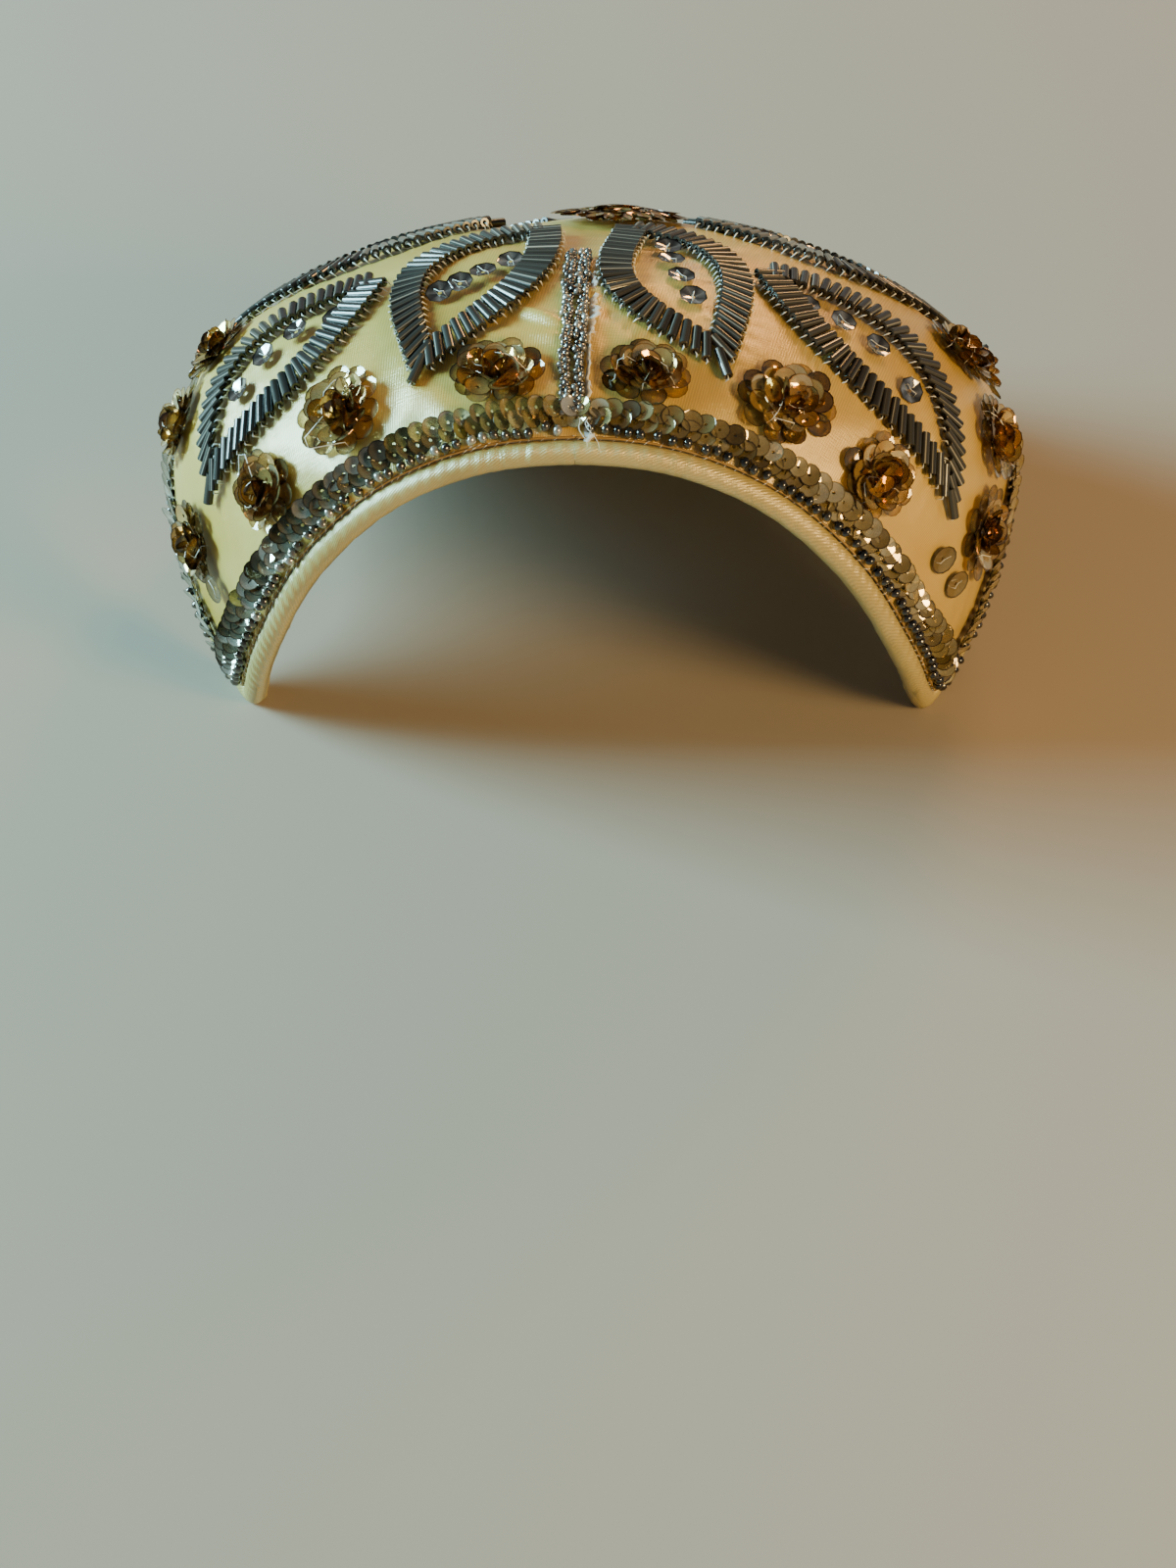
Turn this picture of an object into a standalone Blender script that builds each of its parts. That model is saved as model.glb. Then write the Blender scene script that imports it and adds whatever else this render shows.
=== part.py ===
"""Half hat: a stiff satin-covered crown that dips to a point at each side, bound with a
rolled satin edge and worked with bugle-bead petals, sequin flowers and a sequin border.

The crown is described on its hat block, a half ellipsoid with the front at -Y and the
side points at +-X. A place on the block is an angle round from the front and a fall,
the length of arc down from the top. The whole hat is then leaned back until its side
points and the middle of its back edge touch the floor together, as it sits by itself.
"""
import bpy
import numpy as np

MM = 0.001

# Hat block
HALF_WIDTH = 84.0 * MM
HALF_DEPTH = 75.5 * MM
CROWN_RISE = 48.0 * MM
SIDE_DROP = 85.0 * MM
WIDEST_HEIGHT = 55.0 * MM

# Lower edge of the hat from the middle of the front to the middle of the back: angle
# round the block (degrees) and height on it (millimetres)
RIM_COLUMNS = ("angle", "height")
RIM = (
    (0.0, 62.0),
    (12.0, 60.0),
    (24.0, 52.6),
    (36.0, 39.6),
    (48.0, 24.4),
    (60.0, 13.4),
    (69.0, 8.6),
    (74.5, 8.0),
    (78.0, 20.0),
    (81.0, 34.0),
    (86.0, 45.0),
    (97.0, 53.0),
    (118.0, 59.6),
    (150.0, 62.6),
    (180.0, 63.0),
)
POINT_ROUNDING = 5.0 * MM
RIM_STEP = 1.0 * MM

# Layers of the edge
WALL = 2.0 * MM
BINDING_GAP = 0.5 * MM
BINDING_WIDTH = 4.6 * MM
BINDING_THICKNESS = 4.4 * MM
BORDER_NEAR = 6.4 * MM
BORDER_FAR = 11.4 * MM
BORDER_HEIGHT = 2.0 * MM
BORDER_LIP = 0.85 * MM
BEAD_SEAT = 0.35 * MM

# Stations along each half of the front edge and of the back edge, how strongly they crowd
# towards the side points, rings of the crown and sides of the binding's roll
FRONT_STATIONS = 17
BACK_STATIONS = 23
CROWDING = 1.25
CROWN_RINGS = 9
BINDING_SIDES = 10

# Bands of bugle beads round the petals
BUGLE_LENGTH = 6.6 * MM
BUGLE_HEIGHT = 2.0 * MM
BUGLE_SHOULDER = 0.8
SHOULDER_HEIGHT = 0.7
PETAL_END_REACH = 1.5
PETAL_SIDE_STATIONS = 14

# Petals on the unrolled crown: millimetres to the right (x) and to the back (y) of the
# top, half widths on the left and right of the line from base to tip, and how far
# along that line each side is widest
PETAL_COLUMNS = ("name", "base_x", "base_y", "tip_x", "tip_y",
                 "front_width", "front_belly", "rear_width", "rear_belly")
PETALS = (
    ("petal_front_left", -7.5, -24.5, -29.2, -70.2, 8.8, 0.50, 14.2, 0.44),
    ("petal_front_right", 8.0, -24.0, 26.2, -69.6, 11.6, 0.56, 11.6, 0.40),
    ("petal_brow_left", -38.8, -37.6, -84.0, -57.0, 12.4, 0.46, 12.6, 0.52),
    ("petal_brow_right", 33.5, -37.0, 84.0, -60.4, 12.6, 0.46, 10.4, 0.46),
    ("petal_side_left", -20.0, -5.0, -69.0, -3.0, 11.5, 0.50, 11.5, 0.50),
    ("petal_side_right", 21.0, -5.0, 70.0, -1.0, 11.5, 0.50, 11.5, 0.50),
    ("petal_rear_left", -19.5, 14.5, -60.0, 43.5, 10.5, 0.50, 9.0, 0.50),
    ("petal_rear_right", 19.5, 14.5, 60.0, 43.5, 10.5, 0.50, 9.0, 0.50),
    ("petal_back_left", -7.5, 24.5, -28.0, 69.0, 9.5, 0.50, 11.0, 0.50),
    ("petal_back_right", 7.5, 24.5, 28.0, 69.0, 9.5, 0.50, 11.0, 0.50),
)

# Sequin flowers: angle round from the front (degrees, right positive), fall from the
# top, half size along the edge and half size up the crown (millimetres)
FLOWER_COLUMNS = ("name", "angle", "fall", "half_along", "half_up")
FLOWERS = (
    ("flower_front_left", -11.3, 75.8, 8.4, 6.0),
    ("flower_front_right", 9.6, 76.0, 7.8, 5.8),
    ("flower_brow_left", -32.8, 85.0, 8.3, 8.0),
    ("flower_brow_right", 28.4, 82.6, 9.2, 7.8),
    ("flower_temple_left", -43.8, 100.4, 7.2, 7.2),
    ("flower_temple_right", 40.6, 97.4, 7.6, 7.4),
    ("flower_cheek_left", -64.5, 112.5, 7.6, 7.6),
    ("flower_cheek_right", 66.0, 110.5, 8.2, 8.0),
    ("flower_ear_left", -74.0, 91.0, 8.0, 7.8),
    ("flower_ear_right", 71.5, 93.0, 8.2, 8.0),
    ("flower_side_left", -77.0, 75.0, 7.4, 7.2),
    ("flower_side_right", 76.5, 75.5, 8.0, 7.4),
    ("flower_behind_left", -97.5, 80.5, 7.8, 7.4),
    ("flower_behind_right", 97.5, 80.5, 7.8, 7.4),
    ("flower_rear_left", -111.5, 75.0, 7.8, 7.6),
    ("flower_rear_right", 111.5, 75.0, 7.8, 7.6),
    ("flower_nape_left", -143.0, 74.0, 8.0, 7.0),
    ("flower_nape_right", 143.0, 74.0, 8.0, 7.0),
    ("flower_back_left", -169.0, 74.8, 8.0, 5.8),
    ("flower_back_right", 169.0, 74.8, 8.0, 5.8),
)
# Where the block is more level than this share, a mound is lined up with left and right
LEVEL_LIMIT = 0.3
FLOWER_HEIGHT = 5.0 * MM
FLOWER_LOBES = 8
LOBE_DEPTH = 0.07

# Sequin medallion at the top
MEDALLION_X = 4.0 * MM
MEDALLION_Y = -2.0 * MM
MEDALLION_RADIUS = 14.0 * MM
MEDALLION_HEIGHT = 3.4 * MM
MEDALLION_LOBES = 12

# Rings of a mound of sequins, under it, round its outline and up to near its middle:
# share of the radius and share of the height
MOUND_COLUMNS = ("radius", "height")
MOUND_RINGS = (
    (0.50, 0.0),
    (1.0, 0.0),
    (1.0, 0.26),
    (0.80, 0.50),
    (0.44, 0.84),
)

# Padding lets the binding give this much where it touches the floor
SETTLE = 0.8 * MM

# Steepest slope of the block that is used, steps of the arc length table, and halvings
# of the range when a value is closed in on
LAST_SLOPE = np.radians(150.0)
SLOPE_STEPS = 1500
HALVINGS = 40

PALETTE = {
    "satin": ((0.84, 0.76, 0.56), 0.42, 0.0),
    "bugle_beads": ((0.10, 0.12, 0.15), 0.12, 0.6),
    "gold_sequins": ((0.42, 0.27, 0.09), 0.22, 0.8),
}


def named_rows(columns, rows):
    """Rows of a table as dictionaries."""
    return [dict(zip(columns, row)) for row in rows]


# Places on the hat block

def block(angle, slope):
    """Point of the block at an angle round from the front and a slope from the top."""
    rise = np.where(slope < np.pi / 2, CROWN_RISE, SIDE_DROP)
    return np.stack([
        HALF_WIDTH * np.sin(angle) * np.sin(slope),
        -HALF_DEPTH * np.cos(angle) * np.sin(slope),
        WIDEST_HEIGHT + rise * np.cos(slope) + 0.0 * angle,
    ], axis=-1)


def lay_on_block(points, height=0.0):
    """Moves points straight from the block's centre onto its surface, then out by a height."""
    centred = points - np.array([0.0, 0.0, WIDEST_HEIGHT])
    rise = np.where(centred[..., 2:] > 0.0, CROWN_RISE, SIDE_DROP)
    radii = np.concatenate([
        np.full_like(rise, HALF_WIDTH), np.full_like(rise, HALF_DEPTH), rise], axis=-1)
    on_surface = centred / np.linalg.norm(centred / radii, axis=-1, keepdims=True)
    outward = on_surface / radii ** 2
    outward = outward / np.linalg.norm(outward, axis=-1, keepdims=True)
    height = np.asarray(height)[..., None]
    return on_surface + height * outward + np.array([0.0, 0.0, WIDEST_HEIGHT]), outward


def slope_table():
    """Arc length from the top for a range of slopes, on the block's mean meridian."""
    slope = np.linspace(0.0, LAST_SLOPE, SLOPE_STEPS + 1)
    middle = (slope[1:] + slope[:-1]) / 2
    mean_radius = np.sqrt(HALF_WIDTH * HALF_DEPTH)
    rise = np.where(middle < np.pi / 2, CROWN_RISE, SIDE_DROP)
    step = np.hypot(mean_radius * np.cos(middle), rise * np.sin(middle)) * np.diff(slope)
    return slope, np.concatenate([[0.0], np.cumsum(step)])


SLOPES, FALLS = slope_table()


def unrolled(x, y):
    """Point of the block for a place on the unrolled crown, right and back of the top."""
    return block(np.arctan2(x, -y), np.interp(np.hypot(x, y), FALLS, SLOPES))


def slope_at(height):
    """Slope from the top at which the block has a height."""
    rise = np.where(height > WIDEST_HEIGHT, CROWN_RISE, SIDE_DROP)
    return np.arccos(np.clip((height - WIDEST_HEIGHT) / rise, -1.0, 1.0))


# The lower edge and the lines that run beside it

def smooth_through(points, steps=24):
    """Catmull-Rom curve through the rows of a closed loop."""
    before, after, beyond = (np.roll(points, shift, axis=0) for shift in (1, -1, -2))
    t = np.linspace(0.0, 1.0, steps, endpoint=False)[:, None]
    curve = 0.5 * (
        2 * points[:, None]
        + (after - before)[:, None] * t
        + (2 * before - 5 * points + 4 * after - beyond)[:, None] * t ** 2
        + (3 * points - before - 3 * after + beyond)[:, None] * t ** 3)
    return curve.reshape(-1, points.shape[1])


def at_shares(points, shares):
    """Points at shares of the length of a line of points."""
    reach = np.concatenate([[0.0], np.cumsum(np.linalg.norm(np.diff(points, axis=0), axis=1))])
    wanted = shares * reach[-1]
    return np.stack([np.interp(wanted, reach, points[:, axis]) for axis in range(3)], axis=-1)


def rim_line():
    """The hat's lower edge as a closed line, a point each millimetre, its points rounded."""
    half = np.array([(row["angle"], row["height"]) for row in named_rows(RIM_COLUMNS, RIM)])
    loop = np.vstack([half, half[-2:0:-1] * (-1.0, 1.0) + (360.0, 0.0)])
    # The curve is made over three turns and its middle turn kept, so that it closes
    turns = np.vstack([loop + (360.0 * turn, 0.0) for turn in (-1, 0, 1)])
    curve = smooth_through(turns)
    third = len(curve) // 3
    curve = curve[third:2 * third]
    line = block(np.radians(curve[:, 0]), slope_at(curve[:, 1] * MM))
    length = np.linalg.norm(line - np.roll(line, -1, axis=0), axis=1).sum()
    count = int(round(length / RIM_STEP))
    line = at_shares(np.vstack([line, line[:1]]), np.arange(count) / count)
    reach = int(round(POINT_ROUNDING / RIM_STEP))
    shifts = range(-reach, reach + 1)
    rounded = sum(np.roll(line, shift, axis=0) for shift in shifts) / len(shifts)
    return lay_on_block(rounded)[0]


RIM_LINE = rim_line()


def beside_rim(distance):
    """Right half of the line on the block at a distance inside the edge, front to back."""
    angle = np.radians(np.concatenate([
        np.arange(0.0, 60.0, 1.0), np.arange(60.0, 92.0, 0.1), np.arange(92.0, 180.5, 1.0)]))
    rim_angle = np.arctan2(RIM_LINE[:, 0] / HALF_WIDTH, -RIM_LINE[:, 1] / HALF_DEPTH)
    order = np.argsort(rim_angle)
    rim_slope = slope_at(np.interp(angle, rim_angle[order], RIM_LINE[order, 2]))
    low, high = np.zeros_like(angle), rim_slope
    for _ in range(HALVINGS):
        middle = (low + high) / 2
        gap = np.linalg.norm(block(angle, middle)[:, None] - RIM_LINE[None], axis=-1)
        clear = gap.min(axis=1) >= distance
        low, high = np.where(clear, middle, low), np.where(clear, high, middle)
    return block(angle, low)


def edge_loop(distance):
    """Closed line at a distance inside the edge, its stations crowded towards the side points."""
    half = beside_rim(max(distance, 0.0))
    corner = int(np.argmin(half[:, 2]))
    front_shares = 1 - np.linspace(1.0, 0.0, FRONT_STATIONS + 1) ** CROWDING
    back_shares = np.linspace(0.0, 1.0, BACK_STATIONS + 1) ** CROWDING
    front = at_shares(half[:corner + 1], front_shares)
    back = at_shares(half[corner:], back_shares)
    right = np.vstack([front, back[1:]])
    left = right[-2:0:-1] * (-1.0, 1.0, 1.0)
    return np.vstack([right, left])


# Meshes

def ring_faces(rings, stations, closed_section):
    """Quads between closed rings, each ring a row of stations."""
    last = rings if closed_section else rings - 1
    ring, station = np.meshgrid(np.arange(last), np.arange(stations), indexing="ij")
    following = (ring + 1) % rings
    beyond = (station + 1) % stations
    corners = (ring * stations + station, ring * stations + beyond,
               following * stations + beyond, following * stations + station)
    return np.stack([corner.ravel() for corner in corners], axis=-1).tolist()


def crown_grid():
    """Open surface of the crown from the top down to the binding, and its faces."""
    edge = edge_loop(BINDING_WIDTH + BINDING_GAP)
    angle = np.arctan2(edge[:, 0] / HALF_WIDTH, -edge[:, 1] / HALF_DEPTH)
    slope = slope_at(edge[:, 2])
    share = np.linspace(1.0, 0.0, CROWN_RINGS + 1)[:-1]
    rings = block(angle[None] + 0.0 * share[:, None], share[:, None] * slope[None])
    stations = len(edge)
    top = np.array([[0.0, 0.0, WIDEST_HEIGHT + CROWN_RISE]])
    points = np.vstack([rings.reshape(-1, 3), top])
    faces = ring_faces(CROWN_RINGS, stations, False)
    last_ring = (CROWN_RINGS - 1) * stations
    for station in range(stations):
        faces.append((last_ring + station, last_ring + (station + 1) % stations, len(points) - 1))
    return points, faces


def binding_grid():
    """Closed roll round the whole edge, an oval section carried along it."""
    turn = np.linspace(0.0, 2 * np.pi, BINDING_SIDES, endpoint=False)
    inset = BINDING_WIDTH / 2 * (1 - np.cos(turn))
    height = BINDING_THICKNESS / 2 * np.sin(turn) - WALL / 2
    rings = [lay_on_block(edge_loop(inset[side]), height[side])[0]
             for side in range(BINDING_SIDES)]
    points = np.vstack(rings)
    return points, ring_faces(BINDING_SIDES, len(rings[0]), True)


def border_grid():
    """Closed band of sequins round the whole edge, just above the satin."""
    section = ((BORDER_NEAR, BEAD_SEAT), (BORDER_NEAR + BORDER_LIP, BORDER_HEIGHT),
               (BORDER_FAR - BORDER_LIP, BORDER_HEIGHT), (BORDER_FAR, BEAD_SEAT))
    rings = [lay_on_block(edge_loop(inset), height)[0] for inset, height in section]
    return np.vstack(rings), ring_faces(len(section), len(rings[0]), True)


def petal_outline(petal, grow):
    """Closed leaf on the unrolled crown, its line moved outwards by a distance.

    Each side stands off the line from base to tip by its width times the sine of half
    a turn, run through a power that puts the widest place at the belly's share.
    """
    base = np.array([petal["base_x"], petal["base_y"]]) * MM
    tip = np.array([petal["tip_x"], petal["tip_y"]]) * MM
    along = (tip - base) / np.linalg.norm(tip - base)
    # The rear side of a petal is the side towards the back of the hat
    onward = np.sign(along[0])
    rearward = np.array([-along[1], along[0]]) * onward
    start = base - along * grow * PETAL_END_REACH
    end = tip + along * grow * PETAL_END_REACH
    share = (1 - np.cos(np.pi * np.arange(PETAL_SIDE_STATIONS + 1) / PETAL_SIDE_STATIONS)) / 2
    sides = []
    for direction, width, belly in ((-1.0, petal["front_width"], petal["front_belly"]),
                                    (1.0, petal["rear_width"], petal["rear_belly"])):
        power = np.log(0.5) / np.log(belly)
        stand = (width * MM + grow) * np.sin(np.pi * share ** power)
        sides.append(start + share[:, None] * (end - start)
                     + direction * stand[:, None] * rearward)
    # Every leaf runs the same way round, on the left of the hat as on the right
    first, second = sides if onward > 0 else sides[::-1]
    return np.vstack([first, second[-2:0:-1]])


def petal_grid(petal):
    """Band of bugle beads round one petal."""
    half = BUGLE_LENGTH / 2
    shoulder = BUGLE_SHOULDER * half
    section = ((half, 0.0), (shoulder, SHOULDER_HEIGHT), (0.0, 1.0),
               (-shoulder, SHOULDER_HEIGHT), (-half, 0.0), (0.0, 0.0))
    rings = []
    for grow, share in section:
        line = petal_outline(petal, grow)
        height = BEAD_SEAT + share * BUGLE_HEIGHT
        rings.append(lay_on_block(unrolled(line[:, 0], line[:, 1]), height)[0])
    return np.vstack(rings), ring_faces(len(section), len(rings[0]), True)


def mound_grid(centre, half_along, half_up, height, lobes):
    """Lobed mound of sequins on the block: rings that shrink as they rise to a middle."""
    middle, outward = lay_on_block(centre)
    sideways = np.cross([0.0, 0.0, 1.0], outward)
    if np.linalg.norm(sideways) < LEVEL_LIMIT:
        sideways = np.array([1.0, 0.0, 0.0]) - outward * outward[0]
    sideways = sideways / np.linalg.norm(sideways)
    upward = np.cross(outward, sideways)
    turn = np.linspace(0.0, 2 * np.pi, 2 * lobes, endpoint=False)
    lobe = 1 + LOBE_DEPTH * np.cos(lobes * turn)
    rings = []
    for ring in named_rows(MOUND_COLUMNS, MOUND_RINGS):
        across = ring["radius"] * half_along * (lobe * np.cos(turn))[:, None] * sideways
        up = ring["radius"] * half_up * (lobe * np.sin(turn))[:, None] * upward
        rings.append(lay_on_block(middle + across + up, BEAD_SEAT + ring["height"] * height)[0])
    foot = lay_on_block(centre, BEAD_SEAT)[0]
    peak = lay_on_block(centre, BEAD_SEAT + height)[0]
    points = np.vstack(rings + [foot[None], peak[None]])
    stations = len(turn)
    faces = ring_faces(len(rings), stations, False)
    last_ring = (len(rings) - 1) * stations
    for station in range(stations):
        beyond = (station + 1) % stations
        faces.append((beyond, station, len(points) - 2))
        faces.append((last_ring + station, last_ring + beyond, len(points) - 1))
    return points, faces


def flower_grid(flower):
    """One sequin flower."""
    angle = np.radians(flower["angle"])
    slope = np.interp(flower["fall"] * MM, FALLS, SLOPES)
    centre = block(angle, np.asarray(slope))
    return mound_grid(centre, flower["half_along"] * MM, flower["half_up"] * MM,
                      FLOWER_HEIGHT, FLOWER_LOBES)


def medallion_grid():
    """Sequin medallion at the top."""
    centre = unrolled(np.array(MEDALLION_X), np.array(MEDALLION_Y))
    return mound_grid(centre, MEDALLION_RADIUS, MEDALLION_RADIUS,
                      MEDALLION_HEIGHT, MEDALLION_LOBES)


# How the hat sits

def lean_back(points, tilt):
    """Turns points backwards about the line from side to side."""
    y = points[:, 1] * np.cos(tilt) + points[:, 2] * np.sin(tilt)
    z = points[:, 2] * np.cos(tilt) - points[:, 1] * np.sin(tilt)
    return np.stack([points[:, 0], y, z], axis=-1)


def resting_tilt(binding):
    """Lean at which the side points and the back edge are equally low."""
    forward = binding[:, 1] < HALF_DEPTH / 4
    low, high = 0.0, np.radians(60.0)
    for _ in range(HALVINGS):
        tilt = (low + high) / 2
        z = lean_back(binding, tilt)[:, 2]
        if z[forward].min() < z[~forward].min():
            low = tilt
        else:
            high = tilt
    return tilt


# Materials and objects

def make_material(name):
    """Plain finish from the palette."""
    colour, roughness, metallic = PALETTE[name]
    material = bpy.data.materials.new(name)
    material.use_nodes = True
    shader = material.node_tree.nodes["Principled BSDF"]
    shader.inputs["Base Color"].default_value = (*colour, 1.0)
    shader.inputs["Roughness"].default_value = roughness
    shader.inputs["Metallic"].default_value = metallic
    return material


def make_object(name, points, faces, material, collection):
    """Mesh object from points that are already in place."""
    mesh = bpy.data.meshes.new(name)
    mesh.from_pydata(points.tolist(), [], faces)
    mesh.materials.append(material)
    mesh.shade_smooth()
    mesh.set_sharp_from_angle(angle=np.radians(40.0))
    piece = bpy.data.objects.new(name, mesh)
    collection.objects.link(piece)
    return piece


def build_hat():
    """Works out every piece on the block, leans the hat back and makes the objects."""
    for leftover in list(bpy.data.objects):
        bpy.data.objects.remove(leftover, do_unlink=True)
    collection = bpy.data.collections.new("half_hat")
    bpy.context.scene.collection.children.link(collection)

    grids = {
        "crown_shell": (*crown_grid(), "satin"),
        "edge_binding": (*binding_grid(), "satin"),
        "sequin_border": (*border_grid(), "gold_sequins"),
        "medallion": (*medallion_grid(), "gold_sequins"),
    }
    for petal in named_rows(PETAL_COLUMNS, PETALS):
        grids[petal["name"]] = (*petal_grid(petal), "bugle_beads")
    for flower in named_rows(FLOWER_COLUMNS, FLOWERS):
        grids[flower["name"]] = (*flower_grid(flower), "gold_sequins")

    tilt = resting_tilt(grids["edge_binding"][0])
    leaned = {name: lean_back(grid[0], tilt) for name, grid in grids.items()}
    every_point = np.vstack(list(leaned.values()))
    floor = leaned["edge_binding"][:, 2].min() + SETTLE
    middle = (every_point.min(axis=0) + every_point.max(axis=0)) / 2
    shift = np.array([middle[0], middle[1], floor])

    materials = {name: make_material(name) for name in PALETTE}
    for name, (_, faces, finish) in grids.items():
        points = leaned[name] - shift
        points[:, 2] = np.maximum(points[:, 2], 0.0)
        piece = make_object(name, points, faces, materials[finish], collection)
        if name == "crown_shell":
            wall = piece.modifiers.new("wall", "SOLIDIFY")
            wall.thickness = WALL
            wall.offset = -1.0
            wall.use_even_offset = True


build_hat()
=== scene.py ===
# %% [markdown]
# # A beaded satin half hat
# This lesson dresses the plain solids of a small half hat. The crown is a stiff
# foundation covered in cream satin, and its edge is bound with a padded satin roll. Ten
# petals of bugle beads, twenty sequin flowers, a medallion, a sequin border and lines of
# round beads are sewn on it. The solids come from the frame, and every piece that is made
# here stands where its solid stands.

# %% Load the frame
import bpy
import numpy as np
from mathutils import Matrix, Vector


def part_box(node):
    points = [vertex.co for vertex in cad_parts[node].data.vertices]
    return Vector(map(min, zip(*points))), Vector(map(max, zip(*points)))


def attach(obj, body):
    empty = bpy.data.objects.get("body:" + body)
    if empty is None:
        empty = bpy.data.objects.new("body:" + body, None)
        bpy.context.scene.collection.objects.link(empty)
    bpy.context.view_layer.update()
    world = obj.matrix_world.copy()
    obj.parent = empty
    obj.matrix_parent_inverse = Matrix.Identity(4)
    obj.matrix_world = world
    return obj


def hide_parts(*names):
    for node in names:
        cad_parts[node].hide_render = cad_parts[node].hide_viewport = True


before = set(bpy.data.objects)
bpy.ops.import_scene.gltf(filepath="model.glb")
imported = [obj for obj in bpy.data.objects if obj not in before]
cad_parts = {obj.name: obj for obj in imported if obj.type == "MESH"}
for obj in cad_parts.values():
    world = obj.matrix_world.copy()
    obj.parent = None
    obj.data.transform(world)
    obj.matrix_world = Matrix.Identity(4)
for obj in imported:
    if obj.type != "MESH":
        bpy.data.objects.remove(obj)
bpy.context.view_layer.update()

# %% [markdown]
# ## The hat block
# A milliner steams the foundation over a wooden block, so every bead and thread of the
# hat lies on that block's surface. The block is written as a formula: half an
# ellipsoid above its widest level and a deeper one below. A place on it is an angle
# round from the front and a slope down from the top. With the formula at hand, a piece
# can be drawn flat and then laid on the curved crown, which is how the beadwork is
# drawn on the real satin before it is sewn.

# %% Block formula
MM = 0.001
HALF_WIDTH = 84.0 * MM
HALF_DEPTH = 75.5 * MM
CROWN_RISE = 48.0 * MM
SIDE_DROP = 85.0 * MM
WIDEST_HEIGHT = 55.0 * MM


def block(angle, slope):
    """Point of the block: half width times sine of angle times sine of slope, minus half
    depth times cosine of angle times sine of slope, and rise times cosine of slope."""
    rise = np.where(slope < np.pi / 2, CROWN_RISE, SIDE_DROP)
    return np.stack([
        HALF_WIDTH * np.sin(angle) * np.sin(slope),
        -HALF_DEPTH * np.cos(angle) * np.sin(slope),
        WIDEST_HEIGHT + rise * np.cos(slope) + 0.0 * angle,
    ], axis=-1)


def angle_round(points):
    """Angle round from the front: its tangent is x over the half width divided by minus
    y over the half depth."""
    return np.arctan2(points[..., 0] / HALF_WIDTH, -points[..., 1] / HALF_DEPTH)


def unit(vectors):
    """Vectors divided by their own lengths."""
    return vectors / np.linalg.norm(vectors, axis=-1, keepdims=True)


def lay_on_block(points, height=0.0):
    """Divides each point, seen from the block's centre, by its ellipsoid length, which
    puts it on the surface, then adds height times the surface's outward direction."""
    centred = points - np.array([0.0, 0.0, WIDEST_HEIGHT])
    rise = np.where(centred[..., 2:] > 0.0, CROWN_RISE, SIDE_DROP)
    radii = np.concatenate([
        np.full_like(rise, HALF_WIDTH), np.full_like(rise, HALF_DEPTH), rise], axis=-1)
    on_surface = centred / np.linalg.norm(centred / radii, axis=-1, keepdims=True)
    outward = unit(on_surface / radii ** 2)
    height = np.asarray(height)[..., None]
    return on_surface + height * outward + np.array([0.0, 0.0, WIDEST_HEIGHT]), outward


# %% Flat drawing
STEEPEST = np.radians(150.0)
TABLE_STEPS = 1500


def slope_table():
    """Running sum of small steps down the block's mean meridian, for a range of slopes."""
    slope = np.linspace(0.0, STEEPEST, TABLE_STEPS + 1)
    middle = (slope[1:] + slope[:-1]) / 2
    mean_radius = np.sqrt(HALF_WIDTH * HALF_DEPTH)
    rise = np.where(middle < np.pi / 2, CROWN_RISE, SIDE_DROP)
    step = np.hypot(mean_radius * np.cos(middle), rise * np.sin(middle)) * np.diff(slope)
    return slope, np.concatenate([[0.0], np.cumsum(step)])


SLOPES, FALLS = slope_table()


def unrolled(x, y):
    """Point of the block for a place on the flat drawing, right and back of the top:
    the angle is that of the place, and its distance is the fall down the meridian."""
    return block(np.arctan2(x, -y), np.interp(np.hypot(x, y), FALLS, SLOPES))


def slope_at(height):
    """Slope whose cosine is the height above the widest level over the rise there."""
    rise = np.where(height > WIDEST_HEIGHT, CROWN_RISE, SIDE_DROP)
    return np.arccos(np.clip((height - WIDEST_HEIGHT) / rise, -1.0, 1.0))


print("meridian from top to widest level:", round(np.interp(np.pi / 2, SLOPES, FALLS) / MM), "mm")

# %% [markdown]
# ## The lower edge
# The edge dips to a point at either side and rises at the front. It is a short table of
# angles and heights with a smooth curve through it, rounded a little at the points. All
# that follows the edge, such as the binding, the round beads and the sequin border,
# is carried along lines that keep a fixed distance from it. A row of the table is an
# angle round from the front in degrees and a height on the upright block in millimetres.

# %% Edge line
RIM = np.array([
    (0.0, 62.0), (12.0, 60.0), (24.0, 52.6), (36.0, 39.6), (48.0, 24.4), (60.0, 13.4),
    (69.0, 8.6), (74.5, 8.0), (78.0, 20.0), (81.0, 34.0), (86.0, 45.0), (97.0, 53.0),
    (118.0, 59.6), (150.0, 62.6), (180.0, 63.0),
])
CURVE_STEPS = 24
POINT_ROUNDING = 5


def walked(points):
    """Length walked along a line up to each of its points: the running sum of its steps."""
    return np.concatenate([[0.0], np.cumsum(np.linalg.norm(np.diff(points, axis=0), axis=1))])


def at_reach(points, wanted):
    """Points of a line after the wanted lengths have been walked along it."""
    reach = walked(points)
    return np.stack([np.interp(wanted, reach, points[:, axis]) for axis in range(3)], axis=-1)


def at_shares(points, shares):
    """Points at shares of a line's whole length."""
    return at_reach(points, np.asarray(shares) * walked(points)[-1])


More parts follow.
